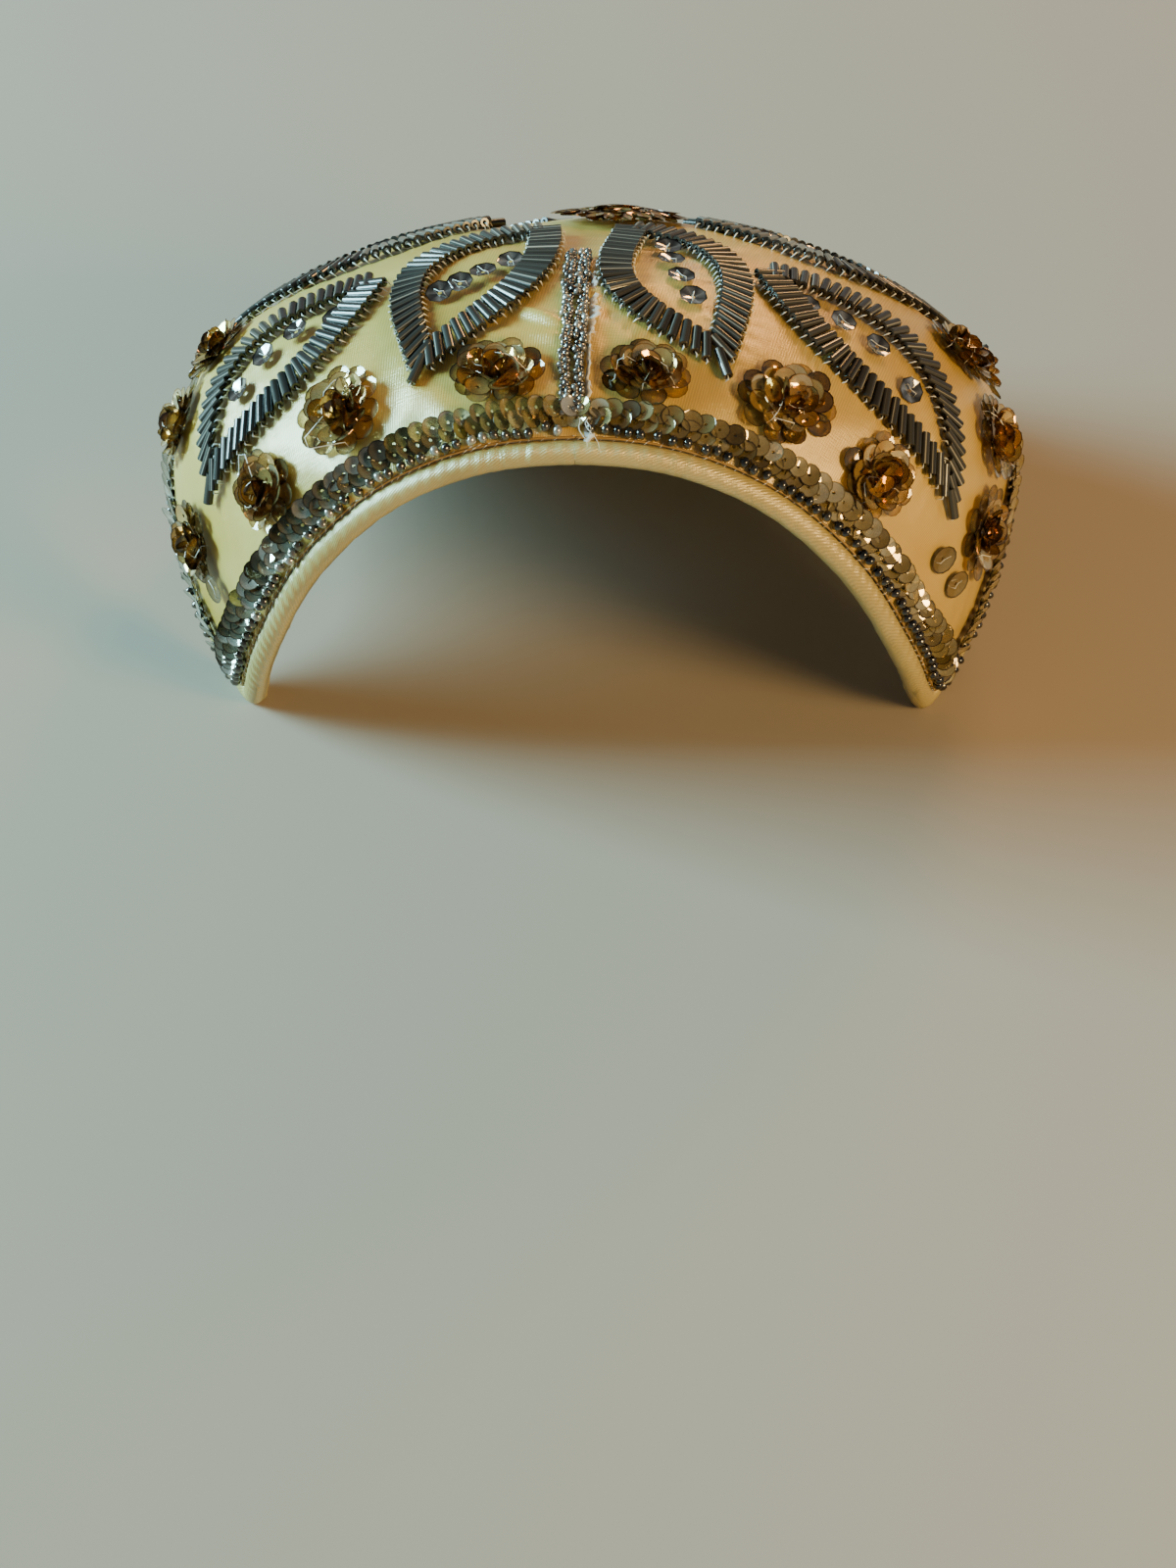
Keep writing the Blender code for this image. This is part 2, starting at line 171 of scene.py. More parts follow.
def rim_line():
    """Catmull-Rom curve through three turns of the table, its middle turn put on the
    block, a point each millimetre, averaged over a few neighbours."""
    loop = np.vstack([RIM, RIM[-2:0:-1] * (-1.0, 1.0) + (360.0, 0.0)])
    turns = np.vstack([loop + (360.0 * turn, 0.0) for turn in (-1, 0, 1)])
    before, after, beyond = (np.roll(turns, shift, axis=0) for shift in (1, -1, -2))
    t = np.linspace(0.0, 1.0, CURVE_STEPS, endpoint=False)[:, None]
    curve = 0.5 * (
        2 * turns[:, None] + (after - before)[:, None] * t
        + (2 * before - 5 * turns + 4 * after - beyond)[:, None] * t ** 2
        + (3 * turns - before - 3 * after + beyond)[:, None] * t ** 3)
    curve = curve.reshape(-1, 2)
    third = len(curve) // 3
    curve = curve[third:2 * third]
    line = block(np.radians(curve[:, 0]), slope_at(curve[:, 1] * MM))
    line = np.vstack([line, line[:1]])
    count = int(round(walked(line)[-1] / MM))
    line = at_shares(line, np.arange(count) / count)
    shifts = range(-POINT_ROUNDING, POINT_ROUNDING + 1)
    return lay_on_block(sum(np.roll(line, shift, axis=0) for shift in shifts) / len(shifts))[0]


RIM_LINE = rim_line()
print("edge is", len(RIM_LINE), "mm round")

# %% Lines beside the edge
HALVINGS = 26
FRONT_STATIONS, BACK_STATIONS = 300, 340


def beside_rim(distance):
    """Right half of the line inside the edge: for each angle the slope is halved in on
    until the nearest point of the edge is the wanted distance away. The angles are
    closer together near the side points."""
    angle = np.radians(np.concatenate([
        np.arange(0.0, 60.0, 1.0), np.arange(60.0, 92.0, 0.1), np.arange(92.0, 180.5, 1.0)]))
    rim_angle = angle_round(RIM_LINE)
    order = np.argsort(rim_angle)
    rim_slope = slope_at(np.interp(angle, rim_angle[order], RIM_LINE[order, 2]))
    low, high = np.zeros_like(angle), rim_slope
    for _ in range(HALVINGS):
        middle = (low + high) / 2
        gap = np.linalg.norm(block(angle, middle)[:, None] - RIM_LINE[None], axis=-1)
        clear = gap.min(axis=1) >= distance
        low, high = np.where(clear, middle, low), np.where(clear, high, middle)
    return block(angle, low)


def edge_loop(distance, front_stations, back_stations):
    """Closed line at a distance inside the edge. Its stations are shares of the length
    of the front half and of the back half, which meet at the side points."""
    half = beside_rim(distance)
    corner = int(np.argmin(half[:, 2]))
    front = at_shares(half[:corner + 1], np.linspace(0.0, 1.0, front_stations + 1))
    back = at_shares(half[corner:], np.linspace(0.0, 1.0, back_stations + 1))
    right = np.vstack([front, back[1:]])
    return np.vstack([right, right[-2:0:-1] * (-1.0, 1.0, 1.0)])


def closed_edge(distance):
    """The loop at a distance inside the edge with its first point once more at its end."""
    line = edge_loop(distance, FRONT_STATIONS, BACK_STATIONS)
    return np.vstack([line, line[:1]])


def place_and_way(line, share):
    """Places at shares of a closed line, round past its end, and the way it runs there."""
    place = at_shares(line, share % 1.0)
    return place, unit(at_shares(line, (share % 1.0 + 0.002) % 1.0) - place)


print("a line 6 mm inside it is", round(walked(closed_edge(6 * MM))[-1] / MM), "mm round")

# %% [markdown]
# ## How the hat sits
# Set down, the hat leans back until its two side points and the middle of its back edge
# touch the table. Everything is worked out on the upright block and seated at the
# end by one turn and one move. The lean and the move are those of the solids, and the
# print shows how well the block formula meets them.

# %% Seat the hat
LEAN = np.radians(30.549231809109187)
SEAT_SHIFT = np.array([0.0, 0.03387507, 0.01749498])


def lean_back(vectors):
    """Turn about the line from side to side: y cosine plus z sine, z cosine minus y sine."""
    y = vectors[..., 1] * np.cos(LEAN) + vectors[..., 2] * np.sin(LEAN)
    z = vectors[..., 2] * np.cos(LEAN) - vectors[..., 1] * np.sin(LEAN)
    return np.stack([vectors[..., 0], y, z], axis=-1)


def seat(points):
    """The lean, then the move, and nothing below the table."""
    seated = lean_back(points) - SEAT_SHIFT
    seated[..., 2] = np.maximum(seated[..., 2], 0.0)
    return seated


crown_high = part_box("crown_shell")[1]
grid_angle, grid_slope = np.meshgrid(np.radians(np.arange(0, 360, 2)), np.radians(np.arange(0, 90, 2)))
print("seated block top:", round(seat(block(grid_angle, grid_slope))[..., 2].max(), 5),
      "crown solid top:", round(crown_high.z, 5))

# %% [markdown]
# ## Meshes from arrays
# Each piece is a grid of points that a formula gives, so its faces follow a pattern and
# need no modelling by hand. Beads and sequins are one small shape stamped at many
# places in a single array product. A number on each point, the shade, lets a finish
# change a little from bead to bead, as glass beads of one batch do.

# %% Faces of a grid
HALF_TURN = np.pi
FULL_TURN = 2 * np.pi


def grid_faces(rows, columns, rows_close=False):
    """Quads between neighbouring rows and columns of a grid of points. The last column
    meets the first, and where the rows close, so do the last row and the first."""
    row, column = np.meshgrid(
        np.arange(rows if rows_close else rows - 1), np.arange(columns), indexing="ij")
    next_row, next_column = (row + 1) % rows, (column + 1) % columns
    corners = (row * columns + column, row * columns + next_column,
               next_row * columns + next_column, next_row * columns + column)
    return np.stack([corner.ravel() for corner in corners], axis=-1)


def strip_faces(stations):
    """Walls of a strip that has four corners at each station, and a lid at either end."""
    last = 4 * (stations - 1)
    lids = np.array([[3, 2, 1, 0], [last, last + 1, last + 2, last + 3]])
    return np.vstack([grid_faces(stations, 4), lids])


def volume_inside(points, faces):
    """Sixth of the sum of triple products of each face's corners, taken as triangles."""
    a, b, c, d = (points[faces[:, corner]] for corner in range(4))
    return (np.einsum("ij,ij->", a, np.cross(b, c)) + np.einsum("ij,ij->", a, np.cross(c, d))) / 6


def area_of(points, faces):
    """Half the length of the cross product of each quad's diagonals, summed."""
    first = points[faces[:, 2]] - points[faces[:, 0]]
    second = points[faces[:, 3]] - points[faces[:, 1]]
    return np.linalg.norm(np.cross(first, second), axis=1).sum() / 2


def facing_out(points, faces):
    """The faces, turned over where they enclose a negative volume."""
    return faces if volume_inside(points, faces) > 0 else faces[:, ::-1]


# %% One piece from arrays
def in_scene(name, data):
    """New object with its data, linked into the scene."""
    thing = bpy.data.objects.new(name, data)
    bpy.context.scene.collection.objects.link(thing)
    return thing


def make_piece(name, points, faces, finishes, nodes=(), shade=None, uv=None,
               kind=None, sharp=40.0):
    """Mesh object with its place in its mesh, riding on the hat and standing for its
    solids. Kind is each face's finish, and edges sharper than an angle are kept sharp."""
    mesh = bpy.data.meshes.new(name)
    mesh.from_pydata(points.tolist(), [], faces.tolist())
    for finish in finishes:
        mesh.materials.append(finish)
    if kind is not None:
        mesh.polygons.foreach_set("material_index", kind.astype(np.int32))
    corner_points = np.empty(len(mesh.loops), np.int32)
    mesh.loops.foreach_get("vertex_index", corner_points)
    if uv is not None:
        layer = mesh.uv_layers.new(name="cloth")
        layer.data.foreach_set("uv", uv[corner_points].astype(np.float32).ravel())
    if shade is not None:
        attribute = mesh.attributes.new("shade", "FLOAT", "POINT")
        attribute.data.foreach_set("value", shade.astype(np.float32))
    mesh.shade_smooth()
    if sharp is not None:
        mesh.set_sharp_from_angle(angle=np.radians(sharp))
    mesh.update()
    piece = in_scene(name, mesh)
    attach(piece, "root")
    if nodes:
        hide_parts(*nodes)
    mesh.calc_loop_triangles()
    print(f"{name}: {len(mesh.loop_triangles)} triangles")
    return piece


# %% Stamps and threads
THREAD_SIDES = 4
THREAD_END = 0.35
ODD_WAY = (0.31, 0.52, 0.79)
chance = np.random.default_rng(11)


def stamp(shape_points, shape_faces, places, right, forward, up):
    """Copies of a shape: place plus x times right, y times forward and z times up."""
    axes = np.stack([right, forward, up], axis=1)
    points = places[:, None] + np.einsum("vk,nkc->nvc", shape_points, axes)
    offsets = np.arange(len(places))[:, None, None] * len(shape_points)
    return points.reshape(-1, 3), (shape_faces[None] + offsets).reshape(-1, 4)


def strands(lines, thickness):
    """Thin closed tubes along many short lines at once. Each line's points get a square
    section, at right angles to the way that the line runs there and to one odd way that
    no line takes, and the ends shrink a little and are closed by lids."""
    stations = lines.shape[1]
    ahead = unit(np.gradient(lines, axis=1))
    aside = unit(np.cross(ahead, ODD_WAY))
    over = np.cross(aside, ahead)
    swell = np.ones(stations)
    swell[[0, -1]] = THREAD_END
    turn = np.linspace(0.0, FULL_TURN, THREAD_SIDES, endpoint=False)
    ring = aside[:, :, None] * np.cos(turn)[:, None] + over[:, :, None] * np.sin(turn)[:, None]
    points = lines[:, :, None] + ring * (thickness / 2 * swell)[:, None, None]
    faces = facing_out(points[0].reshape(-1, 3), strip_faces(stations))
    offsets = np.arange(len(lines))[:, None, None] * stations * THREAD_SIDES
    return points.reshape(-1, 3), (faces[None] + offsets).reshape(-1, 4)


def joined(parts):
    """Several lots of points and faces as one."""
    counts = np.cumsum([0] + [len(points) for points, _ in parts])
    return (np.vstack([points for points, _ in parts]),
            np.vstack([faces + start for (_, faces), start in zip(parts, counts)]))


def per_point(values, shape_points):
    """One value for each copy, repeated for each of its points."""
    return np.repeat(values, len(shape_points))


# %% [markdown]
# ## Finishes
# Cloth, glass and sequins each get a procedural material. A few short helpers build the
# node trees, so that each finish reads like a recipe: colour first, then how rough it
# is, then its relief. Fixed numbers are set on the shader's own sockets.

# %% Node helpers
def new_finish(name, **sockets):
    """Material with its Principled shader's sockets set by name."""
    finish = bpy.data.materials.new(name)
    finish.use_nodes = True
    shader = finish.node_tree.nodes["Principled BSDF"]
    for socket, value in sockets.items():
        shader.inputs[socket.replace("_", " ")].default_value = value
    return finish, finish.node_tree, shader


def node(tree, kind, **settings):
    """Node whose inputs are set or linked by name, and whose own settings start with set_."""
    made = tree.nodes.new(kind)
    for key, value in settings.items():
        if key.startswith("set_"):
            setattr(made, key[4:], value)
            continue
        socket = made.inputs[int(key[1:])] if key[0] == "i" and key[1:].isdigit() \
            else made.inputs[key.replace("_", " ")]
        if isinstance(value, bpy.types.NodeSocket):
            tree.links.new(value, socket)
        else:
            socket.default_value = value
    return made


def ramp(tree, factor, stops):
    """Colour that runs through stops of (place, colour) as the factor goes from 0 to 1."""
    made = tree.nodes.new("ShaderNodeValToRGB")
    elements = made.color_ramp.elements
    for index, (place, colour) in enumerate(stops):
        element = elements[index] if index < 2 else elements.new(place)
        element.position = place
        element.color = (*colour, 1.0)
    tree.links.new(factor, made.inputs["Fac"])
    return made.outputs["Color"]


def shade_of(tree):
    """The shade number of the piece's points."""
    return node(tree, "ShaderNodeAttribute", set_attribute_name="shade").outputs["Fac"]


# %% [markdown]
# ## Satin
# Duchesse satin is a stiff, heavy cloth of long smooth floats. It has a broad, silky
# highlight along its folds, and from close up a very fine slanting twill shows. The
# twill is a wave on the cloth's own flat coordinates, so it follows the crown round, and
# slight slubs and a cloudier tone keep it from looking like plastic.

# %% Satin finish
def satin_finish(name, pale, deep, twill_scale, twill_turn, twill_depth, roughness):
    """Cream cloth: cloudy colour between two tones, a slanting wave for the twill and
    stretched noise for slubs, both as fine relief."""
    finish, tree, shader = new_finish(
        name, Roughness=roughness, Anisotropic=0.55, Specular_IOR_Level=1.0, Metallic=0.12,
        IOR=1.6, Coat_Weight=0.45, Coat_Roughness=0.24)
    place = node(tree, "ShaderNodeTexCoord")
    cloud = node(tree, "ShaderNodeTexNoise", Vector=place.outputs["Object"],
                 Scale=38.0, Detail=3.0, Roughness=0.55)
    tone = ramp(tree, cloud.outputs["Fac"], ((0.32, deep), (0.66, pale)))
    slanted = node(tree, "ShaderNodeMapping", Vector=place.outputs["UV"],
                   Rotation=(0.0, 0.0, twill_turn))
    twill = node(tree, "ShaderNodeTexWave", Vector=slanted.outputs["Vector"],
                 Scale=twill_scale, Distortion=0.6, Detail=1.0, Detail_Scale=2.0)
    stretched = node(tree, "ShaderNodeMapping", Vector=place.outputs["UV"],
                     Scale=(0.35, 3.0, 1.0), Rotation=(0.0, 0.0, twill_turn))
    slub = node(tree, "ShaderNodeTexNoise", Vector=stretched.outputs["Vector"],
                Scale=1.1, Detail=4.0, Roughness=0.6)
    threads = node(tree, "ShaderNodeMix", set_data_type="RGBA", set_blend_type="MULTIPLY",
                   Factor=0.22, i6=tone, i7=twill.outputs["Color"])
    tree.links.new(threads.outputs[2], shader.inputs["Base Color"])
    fine = node(tree, "ShaderNodeBump", Height=twill.outputs["Fac"],
                Strength=twill_depth, Distance=0.00004)
    coarse = node(tree, "ShaderNodeBump", Height=slub.outputs["Fac"], Normal=fine.outputs["Normal"],
                  Strength=0.6, Distance=0.0002)
    for socket in ("Normal", "Coat Normal"):
        tree.links.new(coarse.outputs["Normal"], shader.inputs[socket])
    return finish


SATIN = satin_finish("cream_satin", pale=(0.88, 0.60, 0.15), deep=(0.76, 0.47, 0.08),
                     twill_scale=0.62, twill_turn=np.radians(8), twill_depth=0.6, roughness=0.28)
BINDING_SATIN = satin_finish("binding_satin", pale=(0.70, 0.55, 0.20), deep=(0.56, 0.42, 0.12),
                             twill_scale=0.66, twill_turn=np.radians(28), twill_depth=1.0,
                             roughness=0.36)
LINING = satin_finish("lining_cloth", pale=(0.66, 0.58, 0.42), deep=(0.58, 0.50, 0.35),
                      twill_scale=1.6, twill_turn=0.0, twill_depth=0.40, roughness=0.62)
print("satin, binding and lining finishes made")

# %% [markdown]
# ## Glass and sequins
# The bugles are opaque gunmetal glass: nearly black, with a thin painted highlight along
# each tube where the window would shine, painted so that it stays as fine as on real glass.
# The round beads of the edge are smoked glass, and those of the dart are lined with silver.
# The sequins are thin, transparent plastic with a metallic coat: each takes a shade of its
# own, bronze and gold in the flowers, olive in the border, with a painted grey reflection of
# the window on its left, and silver in the petals, and it glints where a facet meets the light.

# %% Bead and sequin recipes
def glass_finish(name, dark, pale, line, roughness, metallic, coat, specular):
    """Opaque glass whose colour runs from dark to pale with each bead's shade, and to a
    paler line colour where the shade is near one: a painted highlight on the bugles, painted
    window light on the edge beads at the left, and a random paler tone on the dart's beads."""
    finish, tree, shader = new_finish(
        name, Roughness=roughness, Metallic=metallic, Coat_Weight=coat,
        Coat_Roughness=0.09, Coat_IOR=1.75, Specular_IOR_Level=specular)
    stops = ((0.0, dark), (0.6, pale), (0.8, pale), (1.0, line))
    tree.links.new(ramp(tree, shade_of(tree), stops), shader.inputs["Base Color"])
    return finish


def sequin_finish(name, stops, metallic, transmission, roughness):
    """Thin tinted plastic whose colour runs through a few stops with each sequin's shade,
    clouded a little by noise, under a clear coat."""
    finish, tree, shader = new_finish(
        name, Roughness=roughness, Metallic=metallic, Transmission_Weight=transmission,
        IOR=1.45, Coat_Weight=0.8, Coat_Roughness=0.06, Specular_IOR_Level=0.8)
    place = node(tree, "ShaderNodeTexCoord")
    cloud = node(tree, "ShaderNodeTexNoise", Vector=place.outputs["Object"],
                 Scale=900.0, Detail=2.0)
    drift = node(tree, "ShaderNodeMath", set_operation="MULTIPLY_ADD",
                 i0=cloud.outputs["Fac"], i1=0.3, i2=-0.15)
    mixed = node(tree, "ShaderNodeMath", set_operation="ADD",
                 i0=shade_of(tree), i1=drift.outputs[0])
    tree.links.new(ramp(tree, mixed.outputs[0], stops), shader.inputs["Base Color"])
    return finish


# %% Bead and sequin finishes
# The bugles' line colour is a painted highlight, put on the lit flank of each tube
BUGLE_GLASS = glass_finish("gunmetal_glass", dark=(0.007, 0.007, 0.006), pale=(0.042, 0.040, 0.034),
                           line=(0.52, 0.48, 0.40), roughness=0.20, metallic=0.0, coat=0.35,
                           specular=0.35)
SEED_GLASS = glass_finish("smoked_glass", dark=(0.006, 0.005, 0.004), pale=(0.08, 0.07, 0.05),
                          line=(0.46, 0.44, 0.39), roughness=0.12, metallic=0.60, coat=0.8,
                          specular=0.8)
LINED_GLASS = glass_finish("silver_lined_glass", dark=(0.008, 0.008, 0.007),
                           pale=(0.20, 0.19, 0.17), line=(0.62, 0.60, 0.54), roughness=0.13,
                           metallic=0.50, coat=1.0, specular=1.0)
GOLD_SEQUIN = sequin_finish("bronze_sequin", (
    (0.0, (0.05, 0.02, 0.006)), (0.25, (0.30, 0.14, 0.03)), (0.5, (0.66, 0.37, 0.10)),
    (0.8, (0.80, 0.55, 0.19)), (1.0, (0.94, 0.78, 0.46))),
    metallic=0.62, transmission=0.34, roughness=0.08)
CLEAR_SEQUIN = sequin_finish("clear_bronze_sequin", (
    (0.0, (0.025, 0.012, 0.004)), (0.22, (0.14, 0.08, 0.02)), (0.6, (0.62, 0.44, 0.17)),
    (1.0, (0.84, 0.70, 0.38))),
    metallic=0.06, transmission=0.90, roughness=0.05)
OLIVE_SEQUIN = sequin_finish("olive_sequin", (
    (0.0, (0.05, 0.03, 0.01)), (0.25, (0.26, 0.18, 0.06)), (0.55, (0.52, 0.39, 0.15)),
    (0.8, (0.70, 0.58, 0.29)), (1.0, (0.90, 0.82, 0.58))),
    metallic=0.42, transmission=0.50, roughness=0.07)
# Painted reflection: a greyer copy of the olive finish for the border's discs at the left, standing in
# for the cool window they would mirror
WINDOW_LIT_SEQUIN = sequin_finish("window_lit_olive_sequin", (
    (0.0, (0.02, 0.018, 0.010)), (0.25, (0.17, 0.15, 0.09)), (0.6, (0.44, 0.41, 0.29)),
    (1.0, (0.86, 0.84, 0.72))),
    metallic=0.74, transmission=0.22, roughness=0.10)
SILVER_SEQUIN = sequin_finish("silver_sequin", (
    (0.0, (0.012, 0.012, 0.011)), (0.5, (0.22, 0.21, 0.19)), (1.0, (0.86, 0.84, 0.77))),
    metallic=0.92, transmission=0.05, roughness=0.07)
THREAD = new_finish("cotton_thread", Base_Color=(0.90, 0.90, 0.84, 1.0), Roughness=0.5,
                    Sheen_Weight=0.3)[0]
print("bead, sequin and thread finishes made")

# %% [markdown]
# ## Petal outlines
# Before any bead goes on, the pattern is pricked onto the satin. A petal is a leaf on
# the flat drawing: a straight line from its base to its tip with a bow to each side.
# The outlines are needed twice, now for the dents that the stitches pull and later to
# set the beads along. Places are millimetres right and back of the top, widths are
# millimetres too, a belly is the share of the length where the bow is widest, and the
# leans say how far the beads slant at either end, in degrees.

# %% Petal table
def named_rows(columns, table):
    """Each row of a table as a dictionary under the names of its columns."""
    return [dict(zip(columns, row)) for row in table]


PETALS = named_rows(
    ("name", "base_x", "base_y", "tip_x", "tip_y", "front_width", "front_belly",
     "rear_width", "rear_belly", "base_lean", "tip_lean"), (
        ("petal_front_left", -7.5, -24.5, -29.2, -70.2, 8.8, 0.50, 14.2, 0.44, 0, 38),
        ("petal_front_right", 8.0, -24.0, 26.2, -69.6, 11.6, 0.56, 11.6, 0.40, 0, 38),
        ("petal_brow_left", -38.8, -37.6, -84.0, -57.0, 12.4, 0.46, 12.6, 0.52, 6, 50),
        ("petal_brow_right", 33.5, -37.0, 84.0, -60.4, 12.6, 0.46, 10.4, 0.46, 6, 50),
        ("petal_side_left", -20.0, -5.0, -69.0, -3.0, 11.5, 0.50, 11.5, 0.50, 4, 42),
        ("petal_side_right", 21.0, -5.0, 70.0, -1.0, 11.5, 0.50, 11.5, 0.50, 4, 42),
        ("petal_rear_left", -19.5, 14.5, -60.0, 43.5, 10.5, 0.50, 9.0, 0.50, 4, 42),
        ("petal_rear_right", 19.5, 14.5, 60.0, 43.5, 10.5, 0.50, 9.0, 0.50, 4, 42),
        ("petal_back_left", -7.5, 24.5, -28.0, 69.0, 9.5, 0.50, 11.0, 0.50, 2, 40),
        ("petal_back_right", 7.5, 24.5, 28.0, 69.0, 9.5, 0.50, 11.0, 0.50, 2, 40),
    ))
print("petals:", len(PETALS))

# %% Leaf outline
LEAF_SIDES = (("front", -1.0), ("rear", 1.0))
LEAF_STATIONS = 400


def petal_ends(petal):
    """The petal's base and its tip on the flat drawing, in metres."""
    return (np.array([petal["base_x"], petal["base_y"]]) * MM,
            np.array([petal["tip_x"], petal["tip_y"]]) * MM)


def leaf_side(petal, side, direction):
    """One side of the leaf from base to tip on the flat drawing: the line plus the width
    times the sine of half a turn, its share run through a power that moves the belly."""
    base, tip = petal_ends(petal)
    along = (tip - base) / np.linalg.norm(tip - base)
    rearward = np.array([-along[1], along[0]]) * np.sign(along[0])
    share = np.linspace(0.0, 1.0, LEAF_STATIONS)
    power = np.log(0.5) / np.log(petal[side + "_belly"])
    stand = petal[side + "_width"] * MM * np.sin(HALF_TURN * share ** power)
    return base + share[:, None] * (tip - base) + direction * stand[:, None] * rearward


longest = max(walked(leaf_side(petal, *side))[-1] for petal in PETALS for side in LEAF_SIDES)
print("longest side of a petal on the drawing:", round(longest / MM, 1), "mm")

# %% [markdown]
# ## Satin crown
# The satin is stretched over the foundation and pulled into a dart at the middle of the
# front. It was cut flat, stretched damp and sewn, so it is smooth over the top, with
# soft folds that run to the dart and small dents where beads are sewn through. The
# shape is a height over the block, added up on the flat drawing from a few simple
# waves, so the folds can be placed like pencil lines. A fold is a row of the table: its
# middle, the way it runs, how far it reaches along and across, and its height, all in
# millimetres but for the way, which is in degrees.

# %% Fold table
FOLDS = named_rows(("x", "y", "direction", "reach", "width", "height"), (
    (-6.5, -62.7, 55.5, 7.0, 1.7, 1.50),
    (-4.7, -68.2, 72.0, 4.5, 1.3, 0.90),
    (-15.5, -66.5, 94.0, 9.0, 2.6, 0.80),
    (-6.5, -80.6, 96.0, 6.5, 1.9, 1.00),
    (-26.2, -81.2, 33.0, 8.0, 3.4, 0.80),
    (-36.2, -71.0, 12.0, 8.0, 3.2, -0.40),
    (-32.0, -75.7, -28.0, 8.0, 2.6, 0.40),
    (-8.5, -52.0, 70.0, 8.0, 2.4, 0.35),
    (-63.5, -69.5, -99.0, 9.0, 4.0, 0.40),
    (-52.0, -84.0, 40.0, 9.0, 3.5, 0.45),
    (6.5, -66.2, 55.0, 5.5, 2.0, 0.35),
    (9.0, -52.0, -68.0, 11.0, 2.8, 0.30),
    (24.0, -80.0, -35.0, 8.0, 3.2, 0.40),
    (43.0, -80.0, -48.0, 12.0, 3.2, 0.40),
))
print("folds:", len(FOLDS), "highest", max(fold["height"] for fold in FOLDS), "mm")

# %% Dents along the beadwork
DENT_DEPTH, DENT_SPREAD = 0.36 * MM, 3.0 * MM
PUCKER_HEIGHT, PUCKER_SPREAD = 0.14 * MM, 5.5 * MM
PUCKER_STEP = 0.64 * MM
DENT_STRIDE = 5


def bell(distance, spread):
    """One at no distance, falling off as the square of the distance over the spread."""
    return np.exp(-(distance / spread) ** 2)


def sewn_dents(x, y):
    """Minus a bell of the distance to each petal's outline, plus puckers across it: a
    sine of the length walked along the outline times a wider bell."""
    height = 0.0 * x
    for petal in PETALS:
        for side in LEAF_SIDES:
            line = leaf_side(petal, *side)[::DENT_STRIDE]
            gap = np.hypot(x[..., None] - line[:, 0], y[..., None] - line[:, 1])
            at = walked(line)[gap.argmin(axis=-1)]
            gap = gap.min(axis=-1)
            height = height - DENT_DEPTH * bell(gap, DENT_SPREAD)
            height = height + PUCKER_HEIGHT * bell(gap, PUCKER_SPREAD) * np.sin(at / PUCKER_STEP)
    return height


print("dents", round(DENT_DEPTH / MM, 2), "mm deep")

# %% Height of the satin
DART_FALLS = (39.0 * MM, 90.0 * MM)
DART_X = -0.9 * MM
DART_ENTRY = 3.0 * MM
GROOVE_DEPTH, GROOVE_WIDTH = 0.30 * MM, 1.6 * MM
LIP_X, LIP_HEIGHT, LIP_WIDTH = 3.2 * MM, 0.35 * MM, 1.1 * MM
SLOW_RIPPLE = 0.22 * MM
FINE_RIPPLE = 0.13 * MM


def ripples(x, y):
    """Slow ripples, two bent sines added, and fine ones, two bent sines multiplied. The
    numbers are the lengths on the drawing, in metres, in which each sine moves on."""
    slow = (np.sin(x / 0.0075 + 2 * np.sin(y / 0.017))
            + np.sin(y / 0.0090 + x / 0.031 + 1.5 * np.sin(x / 0.023)))
    fine = (np.sin(x / 0.0030 + 3 * np.sin(y / 0.008))
            * np.sin(y / 0.0037 + 2 * np.sin(x / 0.011)))
    return SLOW_RIPPLE * slow + FINE_RIPPLE * fine


def fold_height(fold, x, y):
    """A long ridge: its height times a bell along it times a bell across it."""
    turn = np.radians(fold["direction"])
    right, back = x - fold["x"] * MM, y - fold["y"] * MM
    along = right * np.sin(turn) - back * np.cos(turn)
    across = right * np.cos(turn) + back * np.sin(turn)
    return (fold["height"] * MM * bell(along, fold["reach"] * MM)
            * bell(across, fold["width"] * MM))


def dart_height(x, y):
    """A groove along the dart and a lip to its right, both bells across the front half,
    faded in with the fall from the top."""
    in_dart = 1 / (1 + np.exp(-(np.hypot(x, y) - DART_FALLS[0]) / DART_ENTRY)) * (y < 0)
    return in_dart * (LIP_HEIGHT * bell(x - LIP_X, LIP_WIDTH)
                      - GROOVE_DEPTH * bell(x - DART_X, GROOVE_WIDTH))


def satin_height(x, y):
    """Height of the satin over the block on the flat drawing: all of these added up."""
    height = ripples(x, y) + sewn_dents(x, y) + dart_height(x, y)
    for fold in FOLDS:
        height = height + fold_height(fold, x, y)
    return height


# %% Crown surfaces
EDGE_OF_CLOTH = 4.75 * MM
CLOTH = 0.45 * MM
WALL = 2.0 * MM
LINING_GAP = 0.2 * MM
TOP_SHARE = 0.0008


def crown_sheet(front, back, rings, under_rings, upper, lower, rippled):
    """Closed thin shell: rings from the edge to the top at one height over the block,
    and back down to the edge at another. Returns points, faces and flat coordinates."""
    edge = edge_loop(EDGE_OF_CLOTH, front, back)
    angle = angle_round(edge)
    fall = np.interp(slope_at(edge[:, 2]), SLOPES, FALLS)
    sides = []
    for count, height in ((rings, upper), (under_rings, lower)):
        share = np.linspace(1.0, TOP_SHARE, count + 1)[:, None]
        x, y = share * fall * np.sin(angle), -share * fall * np.cos(angle)
        relief = satin_height(x, y) if rippled and height == upper else 0.0 * x
        sides.append((lay_on_block(unrolled(x, y), height + relief)[0], np.stack([x, y], axis=-1)))
    surface = np.concatenate([sides[0][0], sides[1][0][::-1]]).reshape(-1, 3)
    flat = np.concatenate([sides[0][1], sides[1][1][::-1]]).reshape(-1, 2)
    return surface, grid_faces(rings + under_rings + 2, len(edge), rows_close=True), flat / MM


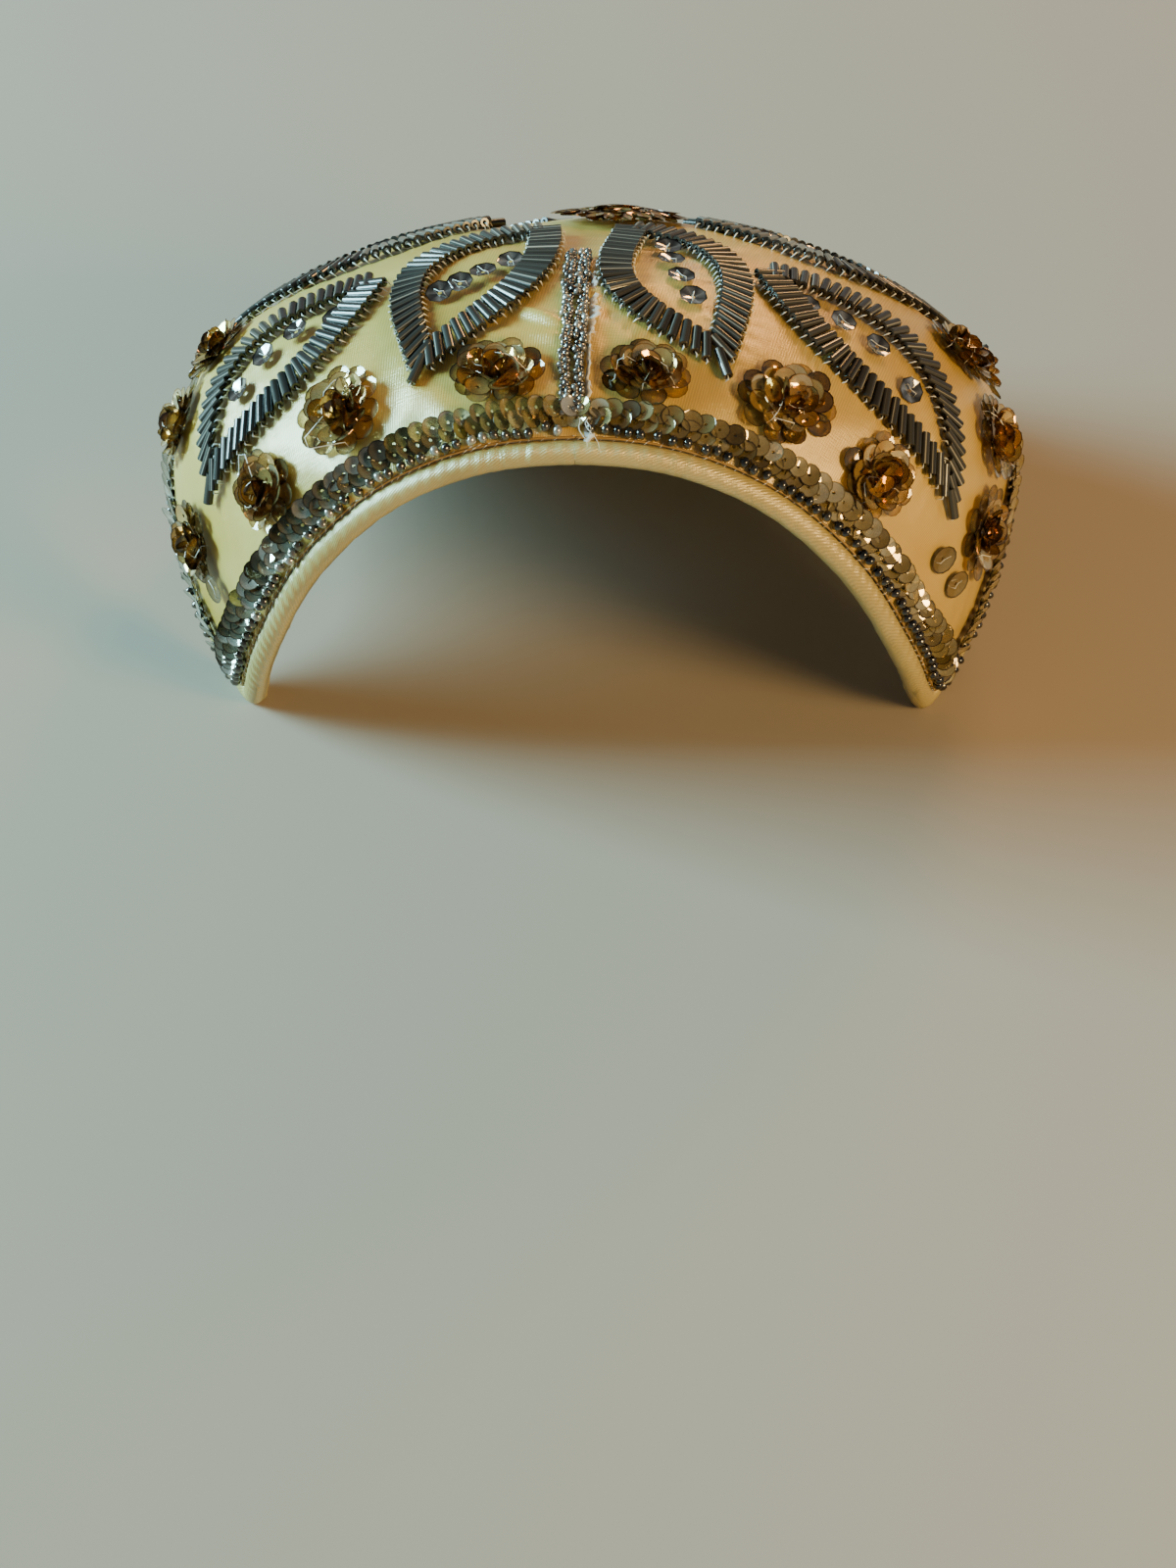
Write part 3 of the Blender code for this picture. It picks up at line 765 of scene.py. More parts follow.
satin_points, satin_faces, flat = crown_sheet(
    front=116, back=104, rings=140, under_rings=24, upper=0.0, lower=-CLOTH, rippled=True)
satin_crown = make_piece("satin_crown", seat(satin_points), facing_out(satin_points, satin_faces),
                         [SATIN], nodes=("crown_shell",), uv=flat, sharp=None)
points, faces, flat = crown_sheet(
    front=60, back=60, rings=28, under_rings=28, upper=-CLOTH - LINING_GAP, lower=-WALL, rippled=False)
stiff_lining = make_piece("stiff_lining", seat(points), facing_out(points, faces), [LINING],
                          nodes=("crown_shell",), uv=flat, sharp=50.0)

# %% Satin as a sheet
# The satin was cut to the shape of the flat drawing less the dart, which is near its
# own area on the crown, out of a rectangle as wide and as long as the drawing. The
# lining's flat coordinates are those of the same drawing
cloth_area = area_of(seat(satin_points), satin_faces) / 2

# %% [markdown]
# ## Bound edge
# A strip of satin cut on the slant is folded round a soft cord and sewn over the raw
# edge. It is a fat oval roll with small puckers where the seam pulls, and its ends
# lap near the middle of the front. An oval carried along the edge gives the roll, and
# waves on its radius give the puckers.

# %% Binding roll
BINDING_WIDTH = 4.6 * MM
BINDING_THICKNESS = 4.4 * MM
BINDING_SIDES = 18
BINDING_STATIONS = (560, 360)
SLOW_WAVES = (12.0 * MM, 7.3 * MM)
SLOW_SWELL = 0.022
QUICK_WAVE, QUICK_DRIFT = 0.42 * MM, 9.0 * MM
QUICK_SWELL, SEAM_SWELL = 0.006, 0.13
PULL, STRONG_PULL = 0.35, 1.1
STRONG_PULL_AT, STRONG_PULL_SPREAD = -56.0, 15.0
LAP_ANGLE, LAP_RISE, LAP_FADE, LAP_SWELL = -6.0, 0.6, 7.0, 0.15


def binding_roll():
    """Oval section round the edge. Its radius is one plus slow and quick waves of the
    length, strongest near the seam, and a step where the ends lap."""
    turn = np.linspace(0.0, FULL_TURN, BINDING_SIDES, endpoint=False)
    insets = BINDING_WIDTH / 2 * (1 - np.cos(turn))
    base = [edge_loop(inset, *BINDING_STATIONS) for inset in insets]
    reach = walked(base[0])
    angle = np.degrees(angle_round(base[0]))
    quick = np.sin(reach / QUICK_WAVE + 2.5 * np.sin(reach / QUICK_DRIFT))
    slow = np.sin(reach / SLOW_WAVES[0]) + np.sin(reach / SLOW_WAVES[1] + 1.0)
    pulled = PULL + STRONG_PULL * bell(angle - STRONG_PULL_AT, STRONG_PULL_SPREAD)
    past_lap = np.clip((angle - LAP_ANGLE) / LAP_RISE, 0.0, 1.0)
    lap = LAP_SWELL * past_lap * np.exp(-np.abs(angle - LAP_ANGLE) / LAP_FADE)
    rings = []
    for side in range(BINDING_SIDES):
        near_seam = 0.5 - 0.5 * np.cos(turn[side])
        puckers = (QUICK_SWELL + SEAM_SWELL * near_seam) * quick * pulled
        swell = 1 + SLOW_SWELL * slow + puckers + lap
        height = BINDING_THICKNESS / 2 * np.sin(turn[side]) * swell - WALL / 2
        rings.append(lay_on_block(base[side], height)[0])
    around = np.broadcast_arrays(turn[:, None] * BINDING_WIDTH / 2 / MM, reach[None] / MM)
    return (np.concatenate(rings), grid_faces(BINDING_SIDES, len(reach), rows_close=True),
            np.stack(around, axis=-1).reshape(-1, 2))


points, faces, flat = binding_roll()
satin_binding = make_piece("satin_binding", seat(points), facing_out(points, faces),
                           [BINDING_SATIN], nodes=("edge_binding",),
                           uv=flat, sharp=None)

# %% [markdown]
# ## Bugle petals
# Each petal is one closed row of glass tubes. They stand side by side across the
# petal's outline and lean more and more towards its tip. The outline is a leaf on the
# flat drawing. Walking along it in real millimetres on the block, one tube is set down
# every two millimetres, as the needle would.

# %% Bugle shape
BUGLE_LENGTH = 6.1 * MM
BUGLE_RADIUS = 0.96 * MM
BUGLE_SIDES = 10
BUGLE_BEVEL = 0.07 * MM
RIM_SHARE, HOLE_SHARE = 0.93, 0.45


def bugle_shape():
    """Hollow tube along x: ten-sided rings at the hole, the rim and the wall."""
    turn = np.linspace(0.0, FULL_TURN, BUGLE_SIDES, endpoint=False) + HALF_TURN / BUGLE_SIDES
    half = BUGLE_LENGTH / 2
    wall = half - BUGLE_BEVEL
    profile = np.array([(-half, HOLE_SHARE), (-half, RIM_SHARE), (-wall, 1.0),
                        (wall, 1.0), (half, RIM_SHARE), (half, HOLE_SHARE)])
    x = np.repeat(profile[:, :1], BUGLE_SIDES, axis=1)
    radius = profile[:, 1:] * BUGLE_RADIUS
    points = np.stack([x, radius * np.cos(turn), radius * np.sin(turn)], axis=-1).reshape(-1, 3)
    return points, facing_out(points, grid_faces(len(profile), BUGLE_SIDES, rows_close=True))


tube_points, tube_faces = bugle_shape()
print("one bugle:", len(tube_points), "points")

# %% Places of a petal's bugles
BUGLE_PITCH = 2.0 * MM
FREE_AT_BASE, FREE_AT_TIP = 0.55, 0.45
LEAN_START, LEAN_POWER = 0.35, 1.3
TIP_TUBE = 1.6 * MM


def along_surface(vectors, out):
    """Unit vectors along the surface: each vector less its share in the outward way."""
    return unit(vectors - out * np.einsum("...j,...j->...", vectors, out)[..., None])


def petal_row(petal):
    """Places, tube directions and outward directions of one petal's bugles. The tube is
    set across the outline and turned by the lean towards the tip."""
    places, tubes, outs = [], [], []
    for leaf in LEAF_SIDES:
        line = leaf_side(petal, *leaf)
        curve = unrolled(line[:, 0], line[:, 1])
        reach = walked(curve)
        lean = np.radians(petal["base_lean"] + (petal["tip_lean"] - petal["base_lean"]) * np.clip(
            (reach / reach[-1] - LEAN_START) / (1 - LEAN_START), 0.0, 1.0) ** LEAN_POWER)
        # A leaning tube takes less of the line, so the count grows with the lean's cosine
        count = np.concatenate([[0.0], np.cumsum(np.diff(reach) * np.cos(lean[1:]) / BUGLE_PITCH)])
        at = np.interp(np.arange(FREE_AT_BASE, count[-1] - FREE_AT_TIP), count, reach)
        at = at + chance.normal(0.0, 0.05 * MM, len(at))
        place = at_reach(curve, at)
        out = lay_on_block(place)[1]
        forward = unit(at_reach(curve, at + 0.5 * MM) - at_reach(curve, at - 0.5 * MM))
        middle = unrolled(*(line[[0, -1]].mean(axis=0)))
        across = np.cross(out, forward)
        across = across * np.sign(np.einsum("ij,ij->i", across, place - middle))[:, None]
        turn = np.interp(at, reach, lean) + np.radians(chance.normal(0.0, 1.6, len(at)))
        places.append(place)
        tubes.append(unit(across * np.cos(turn)[:, None] + forward * np.sin(turn)[:, None]))
        outs.append(out)
    # One more tube lies along the petal's line at its tip
    base, tip = (unrolled(*end) for end in petal_ends(petal))
    out = lay_on_block(tip)[1]
    along = along_surface(tip - base, out)
    places.append((tip + along * TIP_TUBE)[None])
    tubes.append(along[None])
    outs.append(out[None])
    return np.vstack(places), np.vstack(tubes), np.vstack(outs)


# %% Bugles and their threads
BEAD_SEAT = 0.35 * MM
BUGLE_THREAD = 0.34 * MM
# Way and place of the painted highlight line on each bugle
LIT_WAY = np.array([-0.3, -0.5, -0.8])
LINE_AT, LINE_REACH = 0.59, 0.12
stitches = []


def bugle_shades(side):
    """Shade of each point: near one on the row of corners along the upper part of the
    tube's lower, left flank, a painted highlight where the light would run along it, and a
    chance value under 0.6 all over the rest."""
    flank = np.sign(side @ LIT_WAY)
    across = tube_points[None, :, 1] * flank[:, None] / BUGLE_RADIUS
    on_painted_highlight = (np.abs(across - LINE_AT) < LINE_REACH) & (tube_points[None, :, 2] > 0)
    return np.where(on_painted_highlight, chance.uniform(0.82, 1.0, (len(side), 1)),
                    0.6 * chance.beta(2.0, 3.0, (len(side), 1))).ravel()


def bugle_threads(place, tube, side, out, end):
    """The thread leaves one end of each tube's hole and goes down into the satin."""
    away = (BUGLE_LENGTH / 2 + chance.uniform(0.3, 0.6, len(place)) * MM)[:, None]
    drift = side * chance.normal(0.0, 0.2 * MM, len(place))[:, None]
    mouth = place + end * tube * (BUGLE_LENGTH / 2 - 0.25 * MM)
    turn_point = place + end * tube * away - out * 0.15 * MM + drift
    foot = lay_on_block(place + end * tube * (away + 0.15 * MM) + 1.6 * drift)[0]
    return strands(np.stack([mouth, turn_point, foot], axis=1), BUGLE_THREAD)


bugles = 0
for petal in PETALS:
    place, tube, out = petal_row(petal)
    height = BEAD_SEAT + BUGLE_RADIUS + chance.uniform(0.0, 0.12 * MM, len(place))
    place, out = lay_on_block(place, height)
    tube = along_surface(tube, out)
    side = np.cross(out, tube)
    points, faces = stamp(tube_points, tube_faces, place, tube, side, out)
    make_piece(petal["name"] + "_bugles", seat(points), faces, [BUGLE_GLASS],
               nodes=(petal["name"],), shade=bugle_shades(side), sharp=40.0)
    stitches.extend(bugle_threads(place, tube, side, out, end) for end in (1.0, -1.0))
    bugles += len(place)
print("bugles:", bugles)

# %% [markdown]
# ## Sequins
# A cup sequin is a thin disc pressed into a shallow cup with flat facets and a hole in
# its middle. One is made as five rings of points, an upper and an under side, and is
# stamped for the border, the flowers and the medallion. Only the way they lie differs.
# Its rim is thicker, and the darker look of the thick, refracting rim is painted into its
# colour as painted shade.

# %% Sequin shape
SEQUIN_RADIUS = 3.0 * MM
SEQUIN_HOLE = 0.45 * MM
SEQUIN_THICKNESS = 0.09 * MM
RIM_START = 2.66 * MM
# How much darker the rim is painted, as painted shade
RIM_PAINTED_SHADE = 0.72


def sequin_shape(facets, depth):
    """Closed cup: rings from the hole's upper edge out to the rim and back under, each a
    radius and a height times the turns of the facets."""
    turn = np.linspace(0.0, FULL_TURN, facets, endpoint=False)
    profile = np.array([(SEQUIN_HOLE, 0.07 * MM), (RIM_START, 0.80 * depth), (SEQUIN_RADIUS, depth),
                        (SEQUIN_RADIUS, depth - SEQUIN_THICKNESS), (SEQUIN_HOLE, 0.0)])
    radius, height = profile[:, :1], profile[:, 1:]
    points = np.stack([radius * np.cos(turn), radius * np.sin(turn),
                       height + 0.0 * turn], axis=-1).reshape(-1, 3)
    return points, facing_out(points, grid_faces(len(profile), facets, rows_close=True))


CUP = sequin_shape(facets=13, depth=0.62 * MM)
STAR = sequin_shape(facets=8, depth=0.75 * MM)
print("one cup sequin:", len(CUP[0]), "points")


# %% Sequins at places
def rimmed(values, shape=CUP):
    """One shade for each sequin, lowered on the points of its outermost rings as painted shade for the
    thick, dark-looking rim.
    """
    at_rim = np.linalg.norm(shape[0][:, :2], axis=1) > RIM_START + 0.1 * MM
    return (values[:, None] - RIM_PAINTED_SHADE * at_rim[None]).ravel()


def turned(first, second, angle):
    """Two directions at right angles, turned in their own plane by an angle."""
    c, s = np.cos(angle)[..., None], np.sin(angle)[..., None]
    return first * c + second * s, second * c - first * s


def sewn_sequins(place, out, lift_side, tilt, size, shape=CUP):
    """Sequins at places: each spins by chance about its own middle and is tilted by an
    angle so that the side it is lifted on rises."""
    side = along_surface(lift_side, out)
    tilted, up = turned(side, out, tilt)
    right, forward = turned(tilted, np.cross(out, side), chance.uniform(0.0, FULL_TURN, len(place)))
    scale = np.broadcast_to(size, len(place))[:, None]
    return stamp(*shape, place, right * scale, forward * scale, up * scale)


# %% [markdown]
# ## Sequin border
# Two rows of sequins overlap like tiles all round the edge. A needle set them one after
# the other, so each leans on the one before, and near the side points a few stand on
# their edge. The places come from two lines at fixed distances from the edge. A row of
# the table is such a line, with its distance, the pitch along it and the height over
# the satin in millimetres, and the share of a pitch that it starts at.

# %% Border
BORDER_ROWS = named_rows(("inset", "pitch", "start", "height"), (
    (8.1, 2.6, 0.0, 0.65),
    (9.9, 2.7, 0.5, 1.15),
))
# How far the sequins are tipped up at angles round from the front, both in degrees
TIPS = np.array([
    (-180, 18), (-110, 16), (-70, 16), (-66, 26), (-62, 50), (-54, 56), (-45, 44), (-35, 38),
    (-10, 48), (0, 26), (12, 10), (40, 16), (50, 24), (58, 60), (63, 56), (66, 26), (70, 16),
    (110, 16), (180, 18),
])
# Angle in degrees left of which the border's discs get the painted window reflection
WINDOW_LIT_FROM = -12.0


def border_places():
    """Points along two closed lines at a pitch, the second line moved on by half of it,
    with the way that each line runs."""
    places, sides = [], []
    for border in BORDER_ROWS:
        line = closed_edge(border["inset"] * MM)
        count = int(walked(line)[-1] / (border["pitch"] * MM))
        share = (np.arange(count) + border["start"] + chance.uniform(-0.15, 0.15, count)) / count
        place, side = place_and_way(line, share)
        height = border["height"] * MM + chance.uniform(-0.1, 0.25, count) * MM
        places.append(lay_on_block(place, height)[0])
        sides.append(side)
    place = np.vstack(places)
    return place, lay_on_block(place)[1], np.vstack(sides)


place, out, side = border_places()
at_angle = np.degrees(angle_round(place))
tip = np.radians(np.interp(at_angle, *TIPS.T) + chance.normal(0.0, 9.0, len(place)))
side = side * np.where(at_angle < 0, -1.0, 1.0)[:, None]
size = chance.normal(0.68, 0.03, len(place))
lifted = place + out * (0.55 * SEQUIN_RADIUS * np.sin(tip) ** 2)[:, None]
points, faces = sewn_sequins(lifted, out, side, tip, size)
shade = rimmed(np.clip(chance.normal(0.62, 0.20, len(place)), 0, 1))
# Painted reflection: the discs at the left of the front view get a greyer finish, for the cool
# window that they would mirror, and the others stay more golden
window_lit_discs = at_angle + chance.normal(0.0, 9.0, len(place)) < WINDOW_LIT_FROM
make_piece("border_sequins", seat(points), faces, [OLIVE_SEQUIN, WINDOW_LIT_SEQUIN],
           nodes=("sequin_border",), shade=shade, sharp=12.0,
           kind=np.repeat(window_lit_discs, len(CUP[1])))
print("border sequins:", len(place))

# %% [markdown]
# ## Sequin flowers
# A flower is a heap of sequins on one knot of thread: the outer ones lie nearly flat
# and overlap in a ring, and the inner ones are pushed up until they stand on edge. A
# short table gives each ring its radius, as a share of the flower's half sizes, its
# count, its tilt in degrees and its height in millimetres. The flowers' own table has
# each one's angle round from the front in degrees, its fall from the top and its half
# sizes in millimetres.

# %% Flower tables
FLOWERS = named_rows(("name", "angle", "fall", "half_along", "half_up"), (
    ("flower_front_left", -11.3, 75.8, 8.4, 6.0), ("flower_front_right", 9.6, 76.0, 7.8, 5.8),
    ("flower_brow_left", -32.8, 85.0, 8.3, 8.0), ("flower_brow_right", 28.4, 82.6, 9.2, 7.8),
    ("flower_temple_left", -43.8, 100.4, 7.2, 7.2), ("flower_temple_right", 40.6, 97.4, 7.6, 7.4),
    ("flower_cheek_left", -64.5, 112.5, 7.6, 7.6), ("flower_cheek_right", 66.0, 110.5, 8.2, 8.0),
    ("flower_ear_left", -74.0, 91.0, 8.0, 7.8), ("flower_ear_right", 71.5, 93.0, 8.2, 8.0),
    ("flower_side_left", -77.0, 75.0, 7.4, 7.2), ("flower_side_right", 76.5, 75.5, 8.0, 7.4),
    ("flower_behind_left", -97.5, 80.5, 7.8, 7.4), ("flower_behind_right", 97.5, 80.5, 7.8, 7.4),
    ("flower_rear_left", -111.5, 75.0, 7.8, 7.6), ("flower_rear_right", 111.5, 75.0, 7.8, 7.6),
    ("flower_nape_left", -143.0, 74.0, 8.0, 7.0), ("flower_nape_right", 143.0, 74.0, 8.0, 7.0),
    ("flower_back_left", -169.0, 74.8, 8.0, 5.8), ("flower_back_right", 169.0, 74.8, 8.0, 5.8),
))
HEAP_COLUMNS = ("reach", "count", "tilt", "height")
HEAP = named_rows(HEAP_COLUMNS, (
    (0.80, 10, 8.0, 0.5),
    (0.60, 9, 26.0, 1.1),
    (0.40, 7, 50.0, 1.8),
    (0.18, 5, 72.0, 2.3),
))
print("flowers:", len(FLOWERS), "of", sum(ring["count"] for ring in HEAP), "sequins each")

# %% A heap of sequins
# The discs of a heap stand up more on one side than on the other
STAND_MORE = 24.0


def heap_places(centre, half_along, half_up, heap):
    """Rings of places round a middle point on the block: share of the half sizes times
    cosine and sine of an angle, with each ring turned by chance. The level is the ring."""
    middle, outward = lay_on_block(centre)
    sideways = np.cross([0.0, 0.0, 1.0], outward)
    if np.linalg.norm(sideways) < 0.3:
        sideways = np.array([1.0, 0.0, 0.0]) - outward * outward[0]
    sideways = unit(sideways)
    upward = np.cross(outward, sideways)
    low_side = chance.normal(-0.9, 0.5)
    places, sides, tilts = [], [], []
    for ring in heap:
        count, steep = ring["count"], abs(ring["tilt"])
        turn = FULL_TURN * (np.arange(count) + chance.uniform(-0.2, 0.2, count)) / count
        turn = turn + chance.uniform(0.0, FULL_TURN)
        arm = (np.cos(turn)[:, None] * half_along * sideways
               + np.sin(turn)[:, None] * half_up * upward)
        height = (ring["height"] + chance.uniform(-0.15, 0.2, count)) * MM
        reach = ring["reach"] + chance.normal(0.0, 0.05, count)[:, None]
        places.append(lay_on_block(middle + reach * arm, BEAD_SEAT + height)[0])
        swing = chance.normal(0.0, 0.1 + 0.006 * steep, count)
        sides.append(turned(unit(arm), np.cross(outward, unit(arm)), swing)[0])
        tilts.append(np.radians(
            ring["tilt"] + chance.normal(0.0, 2.0 + 0.14 * steep, count)
            + STAND_MORE * np.sin(np.radians(ring["tilt"])) * np.cos(turn - low_side)))
    place = np.vstack(places)
    level = np.repeat(np.arange(len(heap)), [ring["count"] for ring in heap])
    return place, lay_on_block(place)[1], np.vstack(sides), np.concatenate(tilts), level


# %% Flowers
# A heap hangs a little below the place where it was sewn on
SAG = 1.5 * MM
SLACK_THREADS = 3
TIED_SEQUINS = 22
SLACK_THICKNESS = 0.17 * MM


def slack_threads(centre, place, out, side):
    """A few slack threads from the knot in the middle out over the sequins: each line
    bends to one side by chance and goes down beside the sequin that it ties."""
    ends = chance.choice(TIED_SEQUINS, SLACK_THREADS, replace=False)
    place, out, side = place[ends], out[ends], side[ends]
    knot = lay_on_block(centre, 3.0 * MM)[0] + chance.normal(0.0, 0.8 * MM, (SLACK_THREADS, 3))
    tops = place + out * 1.0 * MM
    slack = np.cross(out, tops - knot) * chance.normal(0.0, 0.35, (SLACK_THREADS, 1))
    return strands(np.stack([
        knot, 0.66 * knot + 0.34 * tops + slack + out * 0.3 * MM,
        0.33 * knot + 0.67 * tops + slack + out * 0.5 * MM, tops,
        place + side * 0.9 * MM - out * 0.2 * MM], axis=1), SLACK_THICKNESS)


for flower in FLOWERS:
    slope = np.interp(flower["fall"] * MM, FALLS, SLOPES)
    centre = block(np.radians(flower["angle"]), np.asarray(slope)) - np.array([0.0, 0.0, SAG])
    place, out, side, tilt, level = heap_places(
        centre, flower["half_along"] * MM, flower["half_up"] * MM, HEAP)
    points, faces = sewn_sequins(place, out, side, tilt, size=0.82)
    shade = rimmed(np.clip(chance.normal(0.80 - 0.05 * level, 0.2), 0, 1))
    make_piece(flower["name"] + "_sequins", seat(points), faces, [CLEAR_SEQUIN, GOLD_SEQUIN],
               nodes=(flower["name"],), shade=shade, sharp=12.0,
               kind=np.repeat(level > 0, len(CUP[1])))
    stitches.append(slack_threads(centre, place, out, side))

# %% [markdown]
# ## Medallion
# At the top of the crown the sequins form one broad, low medallion of overlapping
# rings. It is seen only edge-on from the front, where it glints orange.

# %% Medallion rings
MEDALLION_HEAP = named_rows(HEAP_COLUMNS, (
    (0.80, 21, -7.0, 0.9),
    (0.60, 16, -5.0, 1.2),
    (0.38, 11, -3.0, 1.5),
    (0.17, 6, 4.0, 1.8),
    (0.02, 1, 6.0, 2.0),
))
MEDALLION_PLACE = np.array([5.5, -2.0]) * MM
place, out, side, tilt, level = heap_places(
    unrolled(*MEDALLION_PLACE), half_along=13.5 * MM, half_up=14.0 * MM, heap=MEDALLION_HEAP)
points, faces = sewn_sequins(place, out, side, tilt, size=0.95)
shade = rimmed(np.clip(chance.normal(0.52, 0.18, len(place)), 0, 1))
make_piece("medallion_sequins", seat(points), faces, [GOLD_SEQUIN],
           nodes=("medallion",), shade=shade, sharp=12.0)

# %% [markdown]
# ## Round beads
# A single line of small round beads runs between the binding and the sequins, and two
# double columns of tinier ones cover the dart. A bead is a short, fat ring round its
# hole: five circles over its bow and one at either mouth of the hole.

# %% Seed beads along the edge
SEED_INSET = 5.9 * MM
SEED_STEP = 2.05 * MM
PAIR_GAP, PAIR_SHARE = 1.05 * MM, 0.42
MOST_BEADS = 400


def seed_shape(radius, sides):
    """Round bead along x with a hole: circles whose radius and place follow half a turn."""
    turn = np.linspace(0.0, FULL_TURN, sides, endpoint=False)
    bow = np.radians([-62.0, -30.0, 0.0, 30.0, 62.0])
    x = np.concatenate([0.74 * np.sin(bow), [0.5, -0.5]]) * radius
    wide = np.concatenate([np.cos(bow), [0.28, 0.28]]) * radius
    points = np.stack([x[:, None] + 0.0 * turn, wide[:, None] * np.cos(turn),
                       wide[:, None] * np.sin(turn)], axis=-1).reshape(-1, 3)
    return points, facing_out(points, grid_faces(len(x), sides, rows_close=True))


# Two beads are picked up at a time, and sometimes one or three, so that gaps come between
line = closed_edge(SEED_INSET)
gap_after = chance.uniform(0.0, 1.0, MOST_BEADS) < PAIR_SHARE
steps = SEED_STEP + PAIR_GAP * gap_after * chance.uniform(0.5, 1.3, MOST_BEADS)
share = np.cumsum(steps) / walked(line)[-1]
place, along = place_and_way(line, share[share < 1.0])
count = len(place)
place, out = lay_on_block(place, 1.2 * MM + chance.uniform(-0.1, 0.2, count) * MM)
side = unit(np.cross(out, along))
place = place + side * chance.normal(0.0, 0.22 * MM, count)[:, None]
forward, side = turned(np.cross(side, out), side, chance.normal(0.0, 0.35, count))
seed_points, seed_faces = seed_shape(radius=1.15 * MM, sides=9)
points, faces = stamp(seed_points, seed_faces, place, forward, side, out)
# Painted light: the beads at the left of the front view are painted paler, where they would
# catch more of the window, and the others darker
pale_side = np.degrees(angle_round(place)) < 4.0
shade = chance.beta(1.2, 2.4, count) * np.where(pale_side, 1.0, 0.6) + 0.3 * pale_side
make_piece("edge_seed_beads", seat(points), faces, [SEED_GLASS],
           shade=per_point(shade, seed_points), sharp=60.0)
print("edge beads:", count)

# %% Dart beads
DART_COLUMNS = np.array([-1.78, -0.82, 0.80, 1.78]) * MM
DART_PITCH = 1.62 * MM
STAGGER = np.array([0.0, 0.7, 0.0, 0.7]) * MM
rungs = int((DART_FALLS[1] - 4 * MM - DART_FALLS[0]) / DART_PITCH)
fall = np.repeat(DART_FALLS[0] + 1 * MM + DART_PITCH * np.arange(rungs), len(DART_COLUMNS))
count = len(fall)
x = DART_X + np.tile(DART_COLUMNS, rungs) + chance.normal(0.0, 0.24, count) * MM
y = -fall + chance.normal(0.0, 0.2, count) * MM + np.tile(STAGGER, rungs)
place, out = lay_on_block(unrolled(x, y), (0.8 + chance.uniform(0.0, 0.25, count)) * MM)
down = unrolled(x, y - 1 * MM) - unrolled(x, y)
side = unit(np.cross(out, down))
right, forward = turned(side, np.cross(out, side), chance.uniform(-1.2, 1.2, count))
dart_points, dart_faces = seed_shape(radius=0.88 * MM, sides=8)
size = chance.uniform(0.82, 1.18, count)[:, None]
points, faces = stamp(dart_points, dart_faces, place, right * size, forward * size, out * size)
make_piece("dart_seed_beads", seat(points), faces, [LINED_GLASS],
           shade=per_point(chance.beta(1.8, 1.6, count), dart_points), sharp=60.0)
print("dart beads:", count)

# %% [markdown]
# ## Small sequins in the petals and on the cheeks
# Four silver-grey sequins sit in a row inside each petal, and a pair of olive ones on
# each cheek. One short thread lies over each of them. Their places on the flat drawing
# are an angle in degrees and a fall in millimetres. In the petals that the front view
# doesn't show they are spaced along the petal's own line.

# %% Places of the small sequins
PETAL_SEQUINS = np.array([
    (-27.1, 56.7), (-24.6, 53.2), (-21.7, 48.6), (-17.4, 43.8),
    (24.1, 36.9), (21.4, 43.3), (20.7, 50.4), (20.5, 57.7),
    (-45.0, 65.4), (-51.4, 69.9), (-54.2, 76.4), (-54.8, 84.2),
    (42.4, 61.1), (46.7, 66.6), (49.7, 73.3), (50.6, 83.4),
])
CHEEK_SEQUINS = np.array([(-63.1, 119.6), (-59.8, 122.9), (54.2, 115.5), (59.0, 121.0)])
HIDDEN_FROM = 4
HIDDEN_SHARES = np.array([0.26, 0.41, 0.56, 0.72])[:, None]


def on_drawing(table):
    """Flat places, x and y, of rows of an angle in degrees and a fall in millimetres."""
    angle, fall = np.radians(table[:, 0]), table[:, 1] * MM
    return np.stack([fall * np.sin(angle), -fall * np.cos(angle)], axis=-1)


petal_flat = [on_drawing(PETAL_SEQUINS)]
for petal in PETALS[HIDDEN_FROM:]:
    base, tip = petal_ends(petal)
    petal_flat.append(base + HIDDEN_SHARES * (tip - base))
petal_flat = np.vstack(petal_flat)
print("sequins in the petals:", len(petal_flat))


# %% Petal and cheek sequins
def small_sequins(flat, height, size, tip, shape, crossing):
    """Sequins at flat places, each tipped a little by chance, with a thread over each that
    crosses it at an angle, in radians from the way down."""
    place, out = lay_on_block(unrolled(flat[:, 0], flat[:, 1]), height)
    side = unrolled(flat[:, 0], flat[:, 1] - 1 * MM) - unrolled(flat[:, 0], flat[:, 1])
    count = len(flat)
    lot = sewn_sequins(place, out, side, np.radians(chance.normal(tip, 7.0, count)), size, shape)
    side = along_surface(side, out)
    way = turned(side, np.cross(out, side), chance.normal(crossing, 0.55, count))[0]
    reach = way * (SEQUIN_RADIUS * size + 0.1 * MM) * chance.uniform(0.3, 0.8, (count, 1))
    over, under = out * 0.75 * MM, out * height * 0.6
    stitches.append(strands(np.stack([
        place - reach - under, place - reach * 0.85 + over, place + over * 0.6,
        place + reach * 0.85 + over, place + reach - under], axis=1), 0.15 * MM))
    return lot


points, faces = small_sequins(petal_flat, height=0.8 * MM, size=0.90, tip=-9.0, shape=STAR,
                              crossing=1.0)
